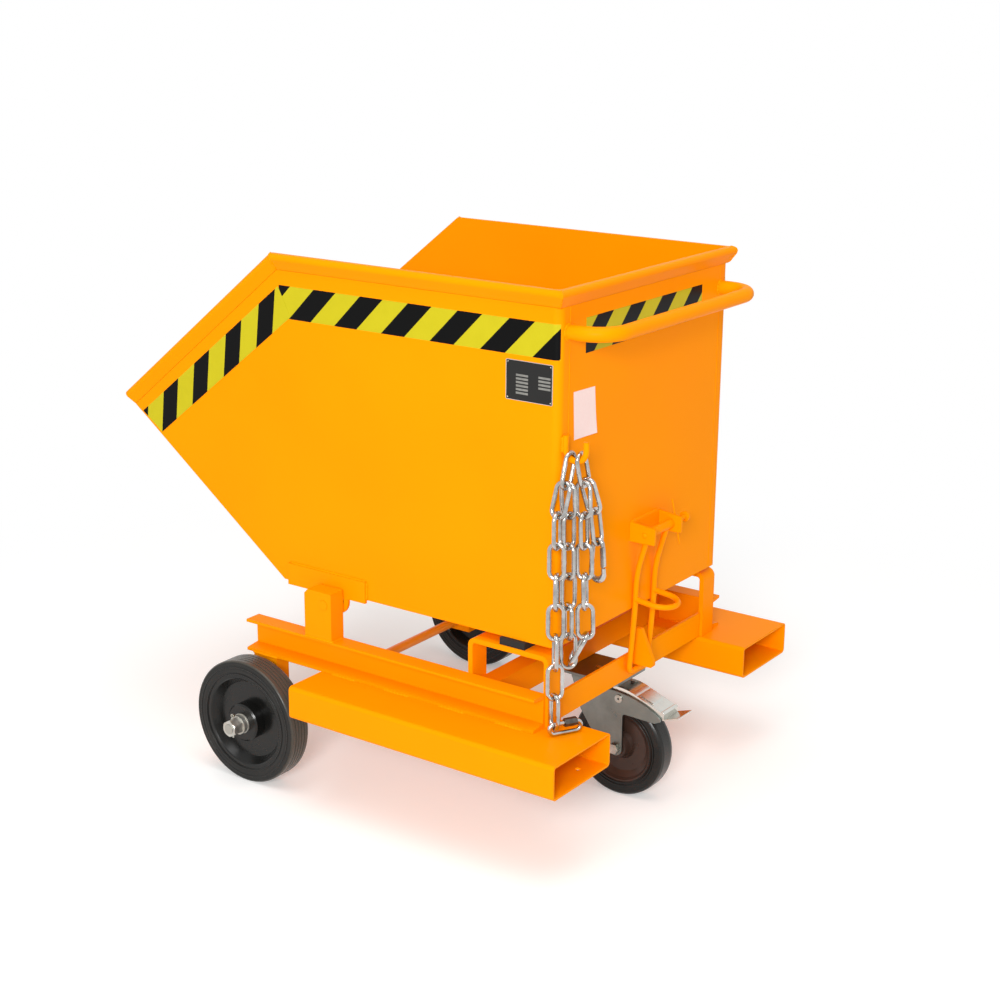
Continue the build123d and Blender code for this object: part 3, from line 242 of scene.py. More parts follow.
def mouldedPlastic(name):
    dark, pale, roughLow, roughHigh, size = moulded[name]
    material, tree, shader, place = startMaterial(name, IOR=spark["ior"])
    grain = addNode(tree, "TexNoise", {"Vector": place, **noisy(size, spark["detail"])})
    cloudy = addNode(tree, "TexNoise", {"Vector": place, **noisy(*spark["cloud"])})
    rough = addNode(tree, "MapRange", {"Value": cloudy.outputs["Fac"], **span("From", spark["roughFrom"]),
                                       **span("To", (roughLow, roughHigh))})
    bump = addNode(tree, "Bump", {"Height": grain.outputs["Fac"], "Distance": spark["depth"] * mm,
                                  "Strength": spark["strength"]})
    colour = addNode(tree, "Mix", {mixBy: cloudy.outputs["Fac"], mixFrom: linear(dark),
                                   mixTo: linear(pale)}, data_type="RGBA")
    setInputs(tree, shader, {"Base Color": colour.outputs[mixOut], "Roughness": rough.outputs[0],
                             "Normal": bump.outputs[0]})
    return material


# Printed vinyl tape: a thin film with some gloss, its yellow uneven; with u along and v across it in metres,
# it is black where fract((u - v) / period) is under its share
tape = {"yellow": "#C4B81F", "worn": "#BAAE1A", "black": "#080808", "ior": 1.18, "rough": 0.36,
        "period": 110, "share": 0.48, "ink": (30, 3.0), "filmDepth": 0.05, "filmStrength": 0.2, "thick": 0.3}


def stripedVinyl():
    material, tree, shader, place = startMaterial("printed_vinyl_tape", IOR=tape["ior"],
                                                  Roughness=tape["rough"])
    uv = addNode(tree, "TexCoord").outputs["UV"]
    split = addNode(tree, "SeparateXYZ", {"Vector": uv})
    lean = addNode(tree, "Math", {0: split.outputs["X"], 1: split.outputs["Y"]}, operation="SUBTRACT")
    turn = addNode(tree, "Math", {0: lean.outputs[0], 1: perMetre(tape["period"])}, operation="MULTIPLY")
    part = addNode(tree, "Math", {0: turn.outputs[0]}, operation="FRACT")
    black = addNode(tree, "Math", {0: part.outputs[0], 1: tape["share"]}, operation="LESS_THAN")
    ink = addNode(tree, "TexNoise", {"Vector": place, **noisy(*tape["ink"])})
    yellow = addNode(tree, "Mix", {mixBy: ink.outputs["Fac"], mixFrom: linear(tape["yellow"]),
                                   mixTo: linear(tape["worn"])}, data_type="RGBA")
    colour = addNode(tree, "Mix", {mixBy: black.outputs[0], mixFrom: yellow.outputs[mixOut],
                                   mixTo: linear(tape["black"])}, data_type="RGBA")
    film = addNode(tree, "Bump", {"Height": ink.outputs["Fac"], "Distance": tape["filmDepth"] * mm,
                                  "Strength": tape["filmStrength"]})
    setInputs(tree, shader, {"Base Color": colour.outputs[mixOut], "Normal": film.outputs[0]})
    return material


# Etched metal plate: dark ground, its grit coarsened to show, and a bare edge; u and v run from 0 to 1
etched = {"ground": "#10100F", "worn": "#191817", "bare": "#A9A8A2", "ior": 1.4, "rough": 0.42,
          "edge": 0.014, "grit": (2.5, 2.0), "depth": 0.03, "strength": 0.3}


def etchedPlate():
    material, tree, shader, place = startMaterial("etched_plate_dark", IOR=etched["ior"],
                                                  Roughness=etched["rough"])
    uv = addNode(tree, "TexCoord").outputs["UV"]
    middle = addNode(tree, "VectorMath", {0: uv, 1: (0.5, 0.5, 0)}, operation="SUBTRACT")
    size = addNode(tree, "VectorMath", {0: middle.outputs[0]}, operation="ABSOLUTE")
    sides = addNode(tree, "SeparateXYZ", {"Vector": size.outputs[0]})
    far = addNode(tree, "Math", {0: sides.outputs["X"], 1: sides.outputs["Y"]}, operation="MAXIMUM")
    rim = addNode(tree, "Math", {0: far.outputs[0], 1: 0.5 - etched["edge"]}, operation="GREATER_THAN")
    wear = addNode(tree, "TexNoise", {"Vector": place, **noisy(*etched["grit"])})
    ground = addNode(tree, "Mix", {mixBy: wear.outputs["Fac"], mixFrom: linear(etched["ground"]),
                                   mixTo: linear(etched["worn"])}, data_type="RGBA")
    colour = addNode(tree, "Mix", {mixBy: rim.outputs[0], mixFrom: ground.outputs[mixOut],
                                   mixTo: linear(etched["bare"])}, data_type="RGBA")
    bump = addNode(tree, "Bump", {"Height": wear.outputs["Fac"], "Distance": etched["depth"] * mm,
                                  "Strength": etched["strength"]})
    setInputs(tree, shader, {"Base Color": colour.outputs[mixOut], "Normal": bump.outputs[0]})
    return material


# Coated label paper: off-white with a pink cast and faint fibres, coarsened to show
coated = {"dull": "#F4D6D0", "bright": "#F7E0DA", "ior": 1.4, "rough": 0.55, "fibre": (5, 6.0), "depth": 0.05,
          "strength": 0.3}


def labelPaper():
    material, tree, shader, place = startMaterial("label_paper", IOR=coated["ior"],
                                                  Roughness=coated["rough"])
    fibre = addNode(tree, "TexNoise", {"Vector": place, **noisy(*coated["fibre"])})
    bump = addNode(tree, "Bump", {"Height": fibre.outputs["Fac"], "Distance": coated["depth"] * mm,
                                  "Strength": coated["strength"]})
    colour = addNode(tree, "Mix", {mixBy: fibre.outputs["Fac"], mixFrom: linear(coated["dull"]),
                                   mixTo: linear(coated["bright"])}, data_type="RGBA")
    setInputs(tree, shader, {"Base Color": colour.outputs[mixOut], "Normal": bump.outputs[0]})
    return material


paint = powderCoat()
pressing = zincPlate("zinc_plated_pressing")
treadle = zincPlate("zinc_treadle_painted_highlight")
hardware = zincPlate("zinc_plated_hardware")
chainZinc = zincPlate("galvanised_chain_steel")
collarZinc = zincPlate("dull_zinc_collar")
sleeveSteel = zincPlate("dull_nut_steel")
bearingSteel = zincPlate("oiled_bearing_steel")
fieldMetal = zincPlate("bare_plate_metal")
frontRim = mouldedPlastic("black_nylon_wheel_centre")
casterRim = mouldedPlastic("dark_wheel_centre_painted_reflection")
padRubber = mouldedPlastic("cut_rubber")
tapeVinyl = stripedVinyl()
plateMetal = etchedPlate()
paper = labelPaper()
finishes = {  # every other node is painted
    "caster_fork": pressing, "caster_plate": pressing, "swivel_race": pressing, "brake_pedal": treadle,
    "caster_axle": hardware, "caster_bolts": hardware, "caster_kingpin": hardware, "pedal_pin": hardware,
    "hinge_washers": hardware, "axle_split_pins": hardware, "axle_spacers": collarZinc,
    "axle_collars": collarZinc, "wheel_axle": axleSteel(), "rest_pads": padRubber, "brake_shoe": padRubber,
    "chain": chainZinc, "snap_hook": chainZinc, "snap_gate": chainZinc, "quick_link": chainZinc,
    "quick_link_nut": sleeveSteel, "front_bearing_left": bearingSteel, "front_bearing_right": bearingSteel,
    "caster_bush": bearingSteel, "front_rim_left": frontRim, "front_rim_right": frontRim,
    "caster_rim": casterRim,
}
# the front tyres' treads take the painted sheen colour, the caster's tread takes the dust colour
for name, treadSheenAndDust in (("front_tyre_left", "treadSheenAndDust"), ("front_tyre_right", "treadSheenAndDust"), ("caster_tyre", "dust")):
    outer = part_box(name)[1].z - middleOf(name).z
    finishes[name] = solidRubber("solid_rubber_" + name, middleOf(name), outer, tyre[treadSheenAndDust])
for name, node in nodes.items():
    node.data.materials.clear()
    node.data.materials.append(finishes.get(name, paint))
print("finishes set on", len(nodes), "nodes")


# Faces (i, j) (i, j + 1) (i + 1, j + 1) (i + 1, j) of a grid whose columns wrap, and its rows when closed
def quads(rows, columns, closed):
    i = np.arange(rows if closed else rows - 1)[:, None] * np.ones(columns, int)
    j = np.ones(len(i), int)[:, None] * np.arange(columns)
    k, n = (i + 1) % rows, (j + 1) % columns
    return np.stack([i * columns + j, i * columns + n, k * columns + n, k * columns + j], -1).reshape(-1, 4)


# A profile carried along a path: point(i, j) = path(i) + scale(i) * (x(j) * across(i) + y(j) * up(i))
def carried(path, across, up, profile, scale=None, closed=False):
    path, profile = np.asarray(path, float), np.asarray(profile, float)
    across, up = (np.broadcast_to(np.asarray(v, float), path.shape) for v in (across, up))
    scale = np.ones(len(path)) if scale is None else scale
    points = path[:, None] + scale[:, None, None] * (
        profile[None, :, :1] * across[:, None] + profile[None, :, 1:] * up[:, None])
    faces = quads(len(path), len(profile), closed).tolist()
    if not closed:
        last = (len(path) - 1) * len(profile)
        faces += [list(range(len(profile)))[::-1], [last + j for j in range(len(profile))]]
    x, y = profile.T
    area = np.sum(x * np.roll(y, -1) - np.roll(x, -1) * y)  # above 0 where the profile runs anticlockwise
    if area * np.dot(np.cross(across[0], up[0]), path[1] - path[0]) < 0:
        faces = [face[::-1] for face in faces]  # the shell would be inside out
    return points.reshape(-1, 3), faces


def joined(parts):  # several (points, faces) as one, each part's faces counting on from the points before it
    starts = np.cumsum([0] + [len(points) for points, faces in parts])
    faces = [[v + start for v in face] for (points, part), start in zip(parts, starts) for face in part]
    return np.concatenate([points for points, part in parts]), faces


def mirrored(parts):  # the same shapes on both sides of the middle, y to -y, faces turned to point out
    return parts + [(points * [1, -1, 1], [face[::-1] for face in faces]) for points, faces in parts]


crispFrom = 50  # degrees between two faces from which their edge isn't smoothed


def addPiece(name, points, faces, body, material, slot, uv=None, smooth=True):
    mesh = bpy.data.meshes.new(name)
    mesh.from_pydata(np.asarray(points).tolist(), [], faces)
    if uv is not None:
        corner = np.zeros(len(mesh.loops), np.int32)
        mesh.loops.foreach_get("vertex_index", corner)
        layer = mesh.uv_layers.new(name="flat")
        layer.data.foreach_set("uv", np.asarray(uv, np.float32)[corner].ravel())
    mesh.materials.append(material)
    piece = bpy.data.objects.new(name, mesh)
    bpy.context.scene.collection.objects.link(piece)
    if smooth:
        mesh.shade_smooth()
        mesh.set_sharp_from_angle(angle=math.radians(crispFrom))
    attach(piece, body)
    return piece


def ring(count, radius):  # a circle of that many points: radius * (cos, sin)
    turn = np.arange(count) * fullTurn / count
    return np.column_stack([np.cos(turn), np.sin(turn)]) * radius


def roundAxle(turn):  # directions at those angles round an axle: (cos, 0, sin)
    return np.column_stack([np.cos(turn), 0 * turn, np.sin(turn)])


# A dome on a flat: a ring carried out by height h and drawn in as sqrt(1 - h^2), with a small flat top
cap = {"levels": 5, "sides": 14, "top": 0.02}


def dome(base, out, radius, height, axes):
    level = np.linspace(0, 1, cap["levels"])
    path = np.asarray(base) + np.outer(level, out) * height
    return carried(path, *axes, ring(cap["sides"], radius), np.sqrt(np.maximum(1 - level ** 2, cap["top"])))


# Rings moulded on the tyres' walls: a round section carried round the axle at a share of the tyre's radius
moulding = {"section": 1.3, "sunk": 0.2, "steps": 96, "sides": 10,
            "tyres": {"front_tyre_left": ("front_wheel_left", (0.79, 0.9)),  # a tyre's body, then its shares
                      "front_tyre_right": ("front_wheel_right", (0.79, 0.9)),
                      "caster_tyre": ("caster_wheel", (0.74, 0.8))}}


def tyreRings():
    away = roundAxle(np.arange(moulding["steps"]) * fullTurn / moulding["steps"])
    section = ring(moulding["sides"], moulding["section"] * mm)
    sunk = moulding["sunk"] * mm
    for name, (body, shares) in moulding["tyres"].items():
        low, high = boxOf(name)
        axleLine = (low + high) / 2 * [1, 0, 1]
        outer = (high[2] - low[2]) / 2
        rings = [carried(axleLine + [0, y, 0] + away * outer * share, away, (0, 1, 0), section, closed=True)
                 for share in shares for y in (low[1] + sunk, high[1] - sunk)]
        addPiece("moulded_rings_" + name, *joined(rings), body, finishes[name], "tyre_rubber")


tyreRings()
print("tyre rings moulded")


# The chain: each solid link gives a centre and three axes; a round wire follows a long ring there and swells
# at its weld as 1 + weld * exp(-(s / weldLength)^2)
link = {"wire": 7.7, "length": 63.3, "width": 27.0, "around": 44, "section": 14, "weld": 0.1,
        "weldLength": 3.0}


def linkShape():
    r = link["width"] / 2 * mm
    straight = link["length"] * mm - 2 * r
    total = fullTurn * r + 2 * straight
    s = np.arange(link["around"]) * total / link["around"]
    # along the ring: up one side, round the top, down the other side, round the bottom
    end = np.pi * r
    legs = [s < straight, s < straight + end, s < 2 * straight + end]
    topTurn, lowTurn = (s - straight) / r, (s - 2 * straight - end) / r
    x = np.select(legs, [np.full_like(s, r), r * np.cos(topTurn), np.full_like(s, -r)], -r * np.cos(lowTurn))
    y = np.select(legs, [s - straight / 2, straight / 2 + r * np.sin(topTurn), straight * 1.5 + end - s],
                  -straight / 2 - r * np.sin(lowTurn))
    outX = np.select(legs, [np.ones_like(s), np.cos(topTurn), -np.ones_like(s)], -np.cos(lowTurn))
    outY = np.select(legs, [np.zeros_like(s), np.sin(topTurn), np.zeros_like(s)], -np.sin(lowTurn))
    bulge = 1 + link["weld"] * np.exp(-((s - straight / 2) / (link["weldLength"] * mm)) ** 2)
    return carried(np.column_stack([x, y, 0 * x]), np.column_stack([outX, outY, 0 * outX]), (0, 0, 1),
                   ring(link["section"], link["wire"] / 2 * mm), bulge, closed=True)


mergeSteps = 1e6  # positions in a metre: corners in the same one are the same point


def islands(mesh):  # vertices of each separate shell, from its merged positions
    points = np.zeros(len(mesh.vertices) * 3)
    mesh.vertices.foreach_get("co", points)
    points = points.reshape(-1, 3)
    corner = np.zeros(len(mesh.loops), np.int32)
    mesh.loops.foreach_get("vertex_index", corner)
    same = np.unique((points * mergeSteps).round().astype(np.int64), axis=0, return_inverse=True)[1].ravel()
    triangles = same[corner].reshape(-1, 3)
    mark = np.arange(same.max() + 1)
    while True:  # the lowest mark of a triangle spreads to its corners until nothing changes
        before = mark.copy()
        lowest = mark[triangles].min(1)
        for k in range(3):
            np.minimum.at(mark, triangles[:, k], lowest)
        if (mark == before).all():
            break
    return [points[mark[same] == v] for v in np.unique(mark)]


# A link's wire set in its shell: point = mean of the shell + the shell's axes times (y, x, -z) of the wire
def chainPiece():
    shape, faces = linkShape()
    parts = []
    for shell in islands(nodes["chain"].data):
        flat = np.unique(shell.round(6), axis=0)
        axes = np.linalg.eigh(np.cov((flat - flat.mean(0)).T))[1][:, ::-1]  # longest first
        axes[:, 2] = np.cross(axes[:, 0], axes[:, 1])
        parts.append((flat.mean(0) + shape[:, [1, 0, 2]] * [1, 1, -1] @ axes.T, faces))
    piece = addPiece("chain_links", *joined(parts), "skip", chainZinc, "chain_zinc")
    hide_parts("chain")
    print("chain:", len(parts), "links")


chainPiece()


# The snap hook's forged bow: with t from 0 to 1 round it, a round section of size ends + swell * sin(pi * t)
forged = {"wire": 8.0, "bow": 13.0, "turn": (-140, 0), "ends": 0.96, "swell": 0.6, "out": 1.2, "steps": 32,
          "sides": 18}


def forgedBow():
    low, high = boxOf("snap_hook")
    reach = (forged["wire"] / 2 + forged["bow"]) * mm  # from the bow's middle to its lowest point
    centre = np.array([low[0] + reach, (low[1] + high[1]) / 2, low[2] + reach])
    t = np.linspace(0, 1, forged["steps"])
    away = roundAxle(np.radians(forged["turn"][0] + np.ptp(forged["turn"]) * t))
    swell = np.sin(np.pi * t)
    path = centre + away * (forged["bow"] + forged["out"] * swell)[:, None] * mm
    bow = carried(path, away, (0, 1, 0), ring(forged["sides"], forged["wire"] / 2 * mm),
                  forged["ends"] + forged["swell"] * swell)
    addPiece("snap_hook_forged_bow", *bow, "skip", chainZinc, "chain_zinc")


forgedBow()
print("snap hook's bow forged")


# The latch's bail, round bar bent close to the wall; a bend is (out from the rear wall, height), and the
# sleeve's two radii are its outside and its bore
bail = {"rod": 11.0, "span": 68.0, "bends": ((6.6, 400), (7.0, 462)), "round": 30, "averaged": 31,
        "corner": 14.0, "top": 7.0, "grip": 412.5, "tilt": 7.0, "sleeve": (9.02, 5.3), "sides": 16,
        "steps": 60, "cornerSteps": 12, "gripSteps": 41}


# The rod along a path, its section square to it: across = ahead x reference, up = across x ahead
def barAlong(path, reference):
    ahead = np.gradient(path, axis=0)
    across = np.cross(ahead, reference)
    across /= np.linalg.norm(across, axis=1)[:, None]
    up = np.cross(across, ahead)
    up /= np.linalg.norm(up, axis=1)[:, None]
    return carried(path, across, up, ring(bail["sides"], bail["rod"] / 2 * mm))


def eased(z, knots):  # x at height z: the mean of the line through the knots from z - round to z + round
    spread = np.linspace(-1, 1, bail["averaged"]) * bail["round"] * mm
    return np.interp(z[:, None] + spread, knots[:, 1], knots[:, 0]).mean(1)


def bentBail():
    low, high = boxOf("latch_bail")
    pin = np.array(middleOf("latch_pin"))
    r = bail["rod"] / 2 * mm
    half = bail["span"] / 2 * mm
    corner = bail["corner"] * mm
    mid = (low[1] + high[1]) / 2
    foot = low + r
    knots = np.array([foot[[0, 2]], *[(rearWall + x * mm, z * mm) for x, z in bail["bends"]], pin[[0, 2]]])
    # both ends run on straight
    knots = np.concatenate([[2 * knots[0] - knots[1]], knots, [2 * knots[-1] - knots[-2]]])
    # down one side, round the foot by a quarter circle, and the same mirrored
    turn = np.linspace(0, np.pi / 2, bail["cornerSteps"])[1:]
    down = np.linspace(pin[2] - bail["top"] * mm, foot[2] + corner, bail["steps"])
    y = np.concatenate([np.full(len(down), -half), -half + corner * (1 - np.cos(turn))])
    z = np.concatenate([down, foot[2] + corner * (1 - np.sin(turn))])
    y, z = np.concatenate([y, -y[::-1]]), np.concatenate([z, z[::-1]])
    rods = barAlong(np.column_stack([eased(z, knots), mid + y, z]), (1, 0, 0))
    # the grip: a straight, a half circle and a straight in a plane that tilts down from the wall
    tilt = math.radians(bail["tilt"])
    out = np.array([math.cos(tilt), 0, -math.sin(tilt)])
    over = np.array([math.sin(tilt), 0, math.cos(tilt)])
    level = bail["grip"] * mm
    start = np.array([eased(np.array([level]), knots)[0], mid, level])
    straight = (high[0] - r - start[0]) / out[0] - half
    turn = np.linspace(-np.pi / 2, np.pi / 2, bail["gripSteps"])
    away = np.concatenate([[0], straight + half * np.cos(turn), [0]])
    aside = np.concatenate([[-half], half * np.sin(turn), [half]])
    grip = barAlong(start + away[:, None] * out + aside[:, None] * np.array([0, 1, 0]), over)
    # the sleeve turns on the pin: a flat section carried round it
    outer, bore = (v * mm for v in bail["sleeve"])
    radial = roundAxle(np.arange(bail["steps"]) * fullTurn / bail["steps"])
    wall, length = (outer - bore) / 2, (high[1] - low[1]) / 2
    sleeve = carried(np.array([pin[0], mid, pin[2]]) + radial * (outer + bore) / 2, radial, (0, 1, 0),
                     [(-wall, -length), (wall, -length), (wall, length), (-wall, length)], closed=True)
    bar = joined([rods, grip, sleeve])
    piece = addPiece("latch_bail_bent_bar", *bar, "latch_bail", paint, "orange_paint")
    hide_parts("latch_bail")


bentBail()
print("latch bail bent")


# A flat sheet on the left wall: an outline in x and z carried outwards from one depth to another
def onWall(outline, low, high):
    path = [(0, leftWall - low * mm, 0), (0, leftWall - high * mm, 0)]
    return carried(path, (1, 0, 0), (0, 0, 1), outline)


# Flat tape: a thin rectangle carried along the wall, u the length run so far and v its height in metres
def tapeStrip(path, across, up, start, width):
    half = tape["thick"] * mm / 2
    profile = np.array([(-half, 0), (half, 0), (half, width), (-half, width)])
    points, faces = carried(path, across, up, profile)
    run = start + np.concatenate([[0], np.cumsum(np.linalg.norm(np.diff(path, axis=0), axis=1))])
    uv = np.stack([np.repeat(run, len(profile)), np.tile(profile[:, 1], len(run))], -1)
    return points, faces, uv


# Where each strip lies, in millimetres from the rear wall or the middle, and where a black stripe starts on
# its lower edge; the sloped strip's four corners follow the chute
strips = {"z": (914, 976), "stand": 0.15, "side": (-629, -15), "sideStart": -605.5, "corner": 15,
          "wrap": 55, "wrapSteps": 9, "rear": (-212, 192), "rearStart": -18,
          "slope": ((-954.3, 641.5), (-601.7, 917.6), (-631.2, 973.5), (-1006.0, 677.9)),
          "slopeFoot": (-954.2, 641.6), "slopeAngle": 38.71, "slopePeriod": 113, "over": 0.05}


# The level strip turns round the rear corner: x + r * sin(turn), y + r * (1 - cos(turn))
def sideTape():
    lift = (strips["stand"] + tape["thick"] / 2) * mm
    x0, x1 = (rearWall + v * mm for v in strips["side"])
    z0, z1 = (v * mm for v in strips["z"])
    r = strips["corner"] * mm + lift
    turn = np.radians(np.linspace(0, strips["wrap"], strips["wrapSteps"]))
    wall = leftWall - lift
    x = np.concatenate([[x0], x1 + r * np.sin(turn)])
    y = np.concatenate([[wall], wall + r * (1 - np.cos(turn))])
    path = np.column_stack([x, y, np.full(len(x), z0)])
    outX = np.concatenate([[0], np.sin(turn)])
    outY = np.concatenate([[-1], -np.cos(turn)])
    out = np.column_stack([outX, outY, np.zeros(len(x))])
    level = tapeStrip(path, out, (0, 0, 1), (strips["side"][0] - strips["sideStart"]) * mm, z1 - z0)
    # the sloped strip is cut along the chute and lies over the level strip's end
    corners = np.array(strips["slope"])
    a = math.radians(strips["slopeAngle"])
    away = (corners - strips["slopeFoot"]) * tape["period"] / strips["slopePeriod"] * mm
    uv = np.stack([away @ (math.cos(a), math.sin(a)), away @ (-math.sin(a), math.cos(a))], -1)
    low = strips["stand"] + tape["thick"] + strips["over"]
    sloped = onWall(corners * mm + [rearWall, 0], low, low + tape["thick"])
    left = [level[:2], sloped]
    flat = np.concatenate([level[2], uv, uv])
    addPiece("striped_tape_left", *joined(left), "skip", tapeVinyl, None, flat, smooth=False)
    addPiece("striped_tape_right", *joined(mirrored(left)[2:]), "skip", tapeVinyl, None, flat, smooth=False)


def rearTape():  # one straight strip across the rear wall
    lift = (strips["stand"] + tape["thick"] / 2) * mm
    y = np.array(strips["rear"]) * mm
    path = np.column_stack([np.full(2, rearWall + lift), y, np.full(2, strips["z"][0] * mm)])
    begin = (strips["rear"][0] - strips["rearStart"]) * mm
    width = (strips["z"][1] - strips["z"][0]) * mm
    points, faces, uv = tapeStrip(path, (1, 0, 0), (0, 0, 1), begin, width)
    addPiece("striped_tape_rear", points, faces, "skip", tapeVinyl, None, uv, smooth=False)


sideTape()
rearTape()
print("striped tape laid")


# The bare type plate, a rectangle whose corners are quarter circles, with empty fields and a domed rivet in
# each corner; a column of fields is its ends along u, then its rows' heights along v, as shares of the plate
plate = {"from": (-110, 834), "size": (97, 71), "thick": 0.8, "stand": 0.1, "corner": 2.5, "cornerSteps": 5,
         "rivetIn": 4.2, "rivet": 1.5, "rivetHeight": 0.8, "fieldProud": 0.12, "fieldSunk": 0.1,
         "fieldHeight": 0.052, "fields": ((0.22, 0.48, (0.636, 0.547, 0.459, 0.37, 0.282, 0.193)),
                                          (0.70, 0.955, (0.65, 0.562, 0.474, 0.386)))}


def typePlate():
    foot = np.array([rearWall + plate["from"][0] * mm, plate["from"][1] * mm])
    w, h = (v * mm for v in plate["size"])
    corner = plate["corner"] * mm
    steps = plate["cornerSteps"]
    turn = np.radians(np.linspace(0, 90, steps))
    turns = np.concatenate([turn + k * np.pi / 2 for k in range(4)])
    centres = [(w - corner, h - corner), (corner, h - corner), (corner, corner), (w - corner, corner)]
    outline = np.repeat(centres, steps, 0) + np.column_stack([np.cos(turns), np.sin(turns)]) * corner
    uv = np.tile(outline / [w, h], (2, 1))
    sheet = onWall(foot + outline, plate["stand"], plate["thick"])
    addPiece("type_plate_bare", *sheet, "skip", plateMetal, None, uv, smooth=False)
    half = plate["fieldHeight"] / 2
    bars = [np.array([(u0, v - half), (u1, v - half), (u1, v + half), (u0, v + half)]) * [w, h]
            for u0, u1, rows in plate["fields"] for v in rows]
    fields = [onWall(foot + bar, plate["thick"] - plate["fieldSunk"], plate["thick"] + plate["fieldProud"])
              for bar in bars]
    addPiece("type_plate_fields", *joined(fields), "skip", fieldMetal, "zinc", smooth=False)
    near = plate["rivetIn"]
    face = leftWall - plate["thick"] * mm
    rivets = [dome((foot[0] + u * mm, face, foot[1] + v * mm), (0, -1, 0), plate["rivet"] * mm,
                   plate["rivetHeight"] * mm, ((1, 0, 0), (0, 0, 1)))
              for u in (near, plate["size"][0] - near) for v in (near, plate["size"][1] - near)]
    addPiece("type_plate_rivets", *joined(rivets), "skip", hardware, "zinc")


# A paper label, its lower edge standing off a little: x(u, v) = stand + lift * (1 - v)^3 * u^2
label = {"corners": ((-243.7, 766), (-172.6, 765), (-179.5, 850), (-248, 852)), "stand": 0.25, "lift": 2.2,
         "thick": 0.15, "grid": 15}


def paperLabel():
    n = label["grid"]
    u, v = np.meshgrid(np.linspace(0, 1, n), np.linspace(0, 1, n), indexing="ij")
    c = np.array(label["corners"]) * mm
    flat = ((1 - u) * (1 - v))[..., None] * c[0] + (u * (1 - v))[..., None] * c[1] \
        + (u * v)[..., None] * c[2] + ((1 - u) * v)[..., None] * c[3]
    out = rearWall + (label["stand"] + label["lift"] * (1 - v) ** 3 * u ** 2) * mm
    points = np.concatenate([np.dstack([out + d * mm, flat]).reshape(-1, 3) for d in (label["thick"], 0)])
    i, j = (g.ravel() for g in np.meshgrid(np.arange(n - 1), np.arange(n - 1), indexing="ij"))
    front = np.stack([i * n + j, (i + 1) * n + j, (i + 1) * n + j + 1, i * n + j + 1], -1)
    # round the sheet's edge, where a strip of faces joins front and back
    step = np.arange(n - 1)
    edge = np.concatenate([step * n, (n - 1) * n + step, n * n - 1 - step * n, n - 1 - step])
    after = np.roll(edge, -1)
    side = np.stack([edge, edge + n * n, after + n * n, after], -1)
    faces = np.concatenate([front, front[:, ::-1] + n * n, side])
    addPiece("paper_label_blank", points, faces.tolist(), "skip", paper, None)


typePlate()
paperLabel()
print("plate and label set")

# Weld beads: a round section carried along a corner, its size 1 + ripple * sin(2 pi s / pitch) + noise,
# tapered towards both ends
weld = {"radius": 2.6, "pitch": 4.2, "ripple": 0.1, "noise": 0.06, "step": 1.4, "fewest": 6, "section": 10,
        "taper": 3, "tip": 0.25, "upright": 0.9, "circleSteps": 60}


def bead(corners, radius=None):
    corners = np.asarray(corners, float)
    radius = (radius or weld["radius"]) * mm
    lengths = np.linalg.norm(np.diff(corners, axis=0), axis=1)
    stations = np.concatenate([[0], np.cumsum(lengths)])
    s = np.linspace(0, stations[-1], max(weld["fewest"], int(stations[-1] / (weld["step"] * mm))))
    path = np.column_stack([np.interp(s, stations, corners[:, k]) for k in range(3)])
    ahead = np.gradient(path, axis=0)
    ahead /= np.linalg.norm(ahead, axis=1)[:, None]
    across = np.cross(ahead, np.where(np.abs(ahead[:, 2:]) > weld["upright"], [[1.0, 0, 0]], [[0, 0, 1.0]]))
    across /= np.linalg.norm(across, axis=1)[:, None]
    ripple = weld["ripple"] * np.sin(fullTurn * s / (weld["pitch"] * mm))
    size = 1 + ripple + weld["noise"] * rng.normal(size=len(s))
    taper = np.clip(np.minimum(s, s[-1] - s) / (weld["taper"] * mm), weld["tip"], 1)
    return carried(path, across, np.cross(across, ahead), ring(weld["section"], radius), size * taper)


# A bead round a tube's end: centre + radius * (cos, sin) along two axes
def circleBead(centre, radius, axes):
    turn = np.linspace(0, fullTurn, weld["circleSteps"])[:, None]
    return bead(np.asarray(centre) + radius * (np.cos(turn) * axes[0] + np.sin(turn) * axes[1]))


# Where the skip's beads run, in millimetres: sunk into a face, short of an edge or down from it; the rim's
# profile is (out from the wall, up it), and its mitre leans by that share of the height
skipSeams = {"sunk": 0.5, "bracketEnds": 3, "bracketSides": (2, 38), "floorEnds": 16, "lipEnds": (14, 8),
             "hookOut": 1, "hookAside": 3.6, "hookTop": 2, "hookBar": 5.5, "hookBars": 3, "latchEnds": 4,
             "dot": 5.2, "dotHeight": 2.2, "dotSunk": 0.2, "mitre": 0.351, "rimRadius": 1.5,
             "rim": ((1, 1), (5, 9), (10.4, 18), (11.5, 23.6), (9.6, 28), (4, 31), (0, 31)),
             "edgeFoot": 2, "edgeRadius": 0.8}


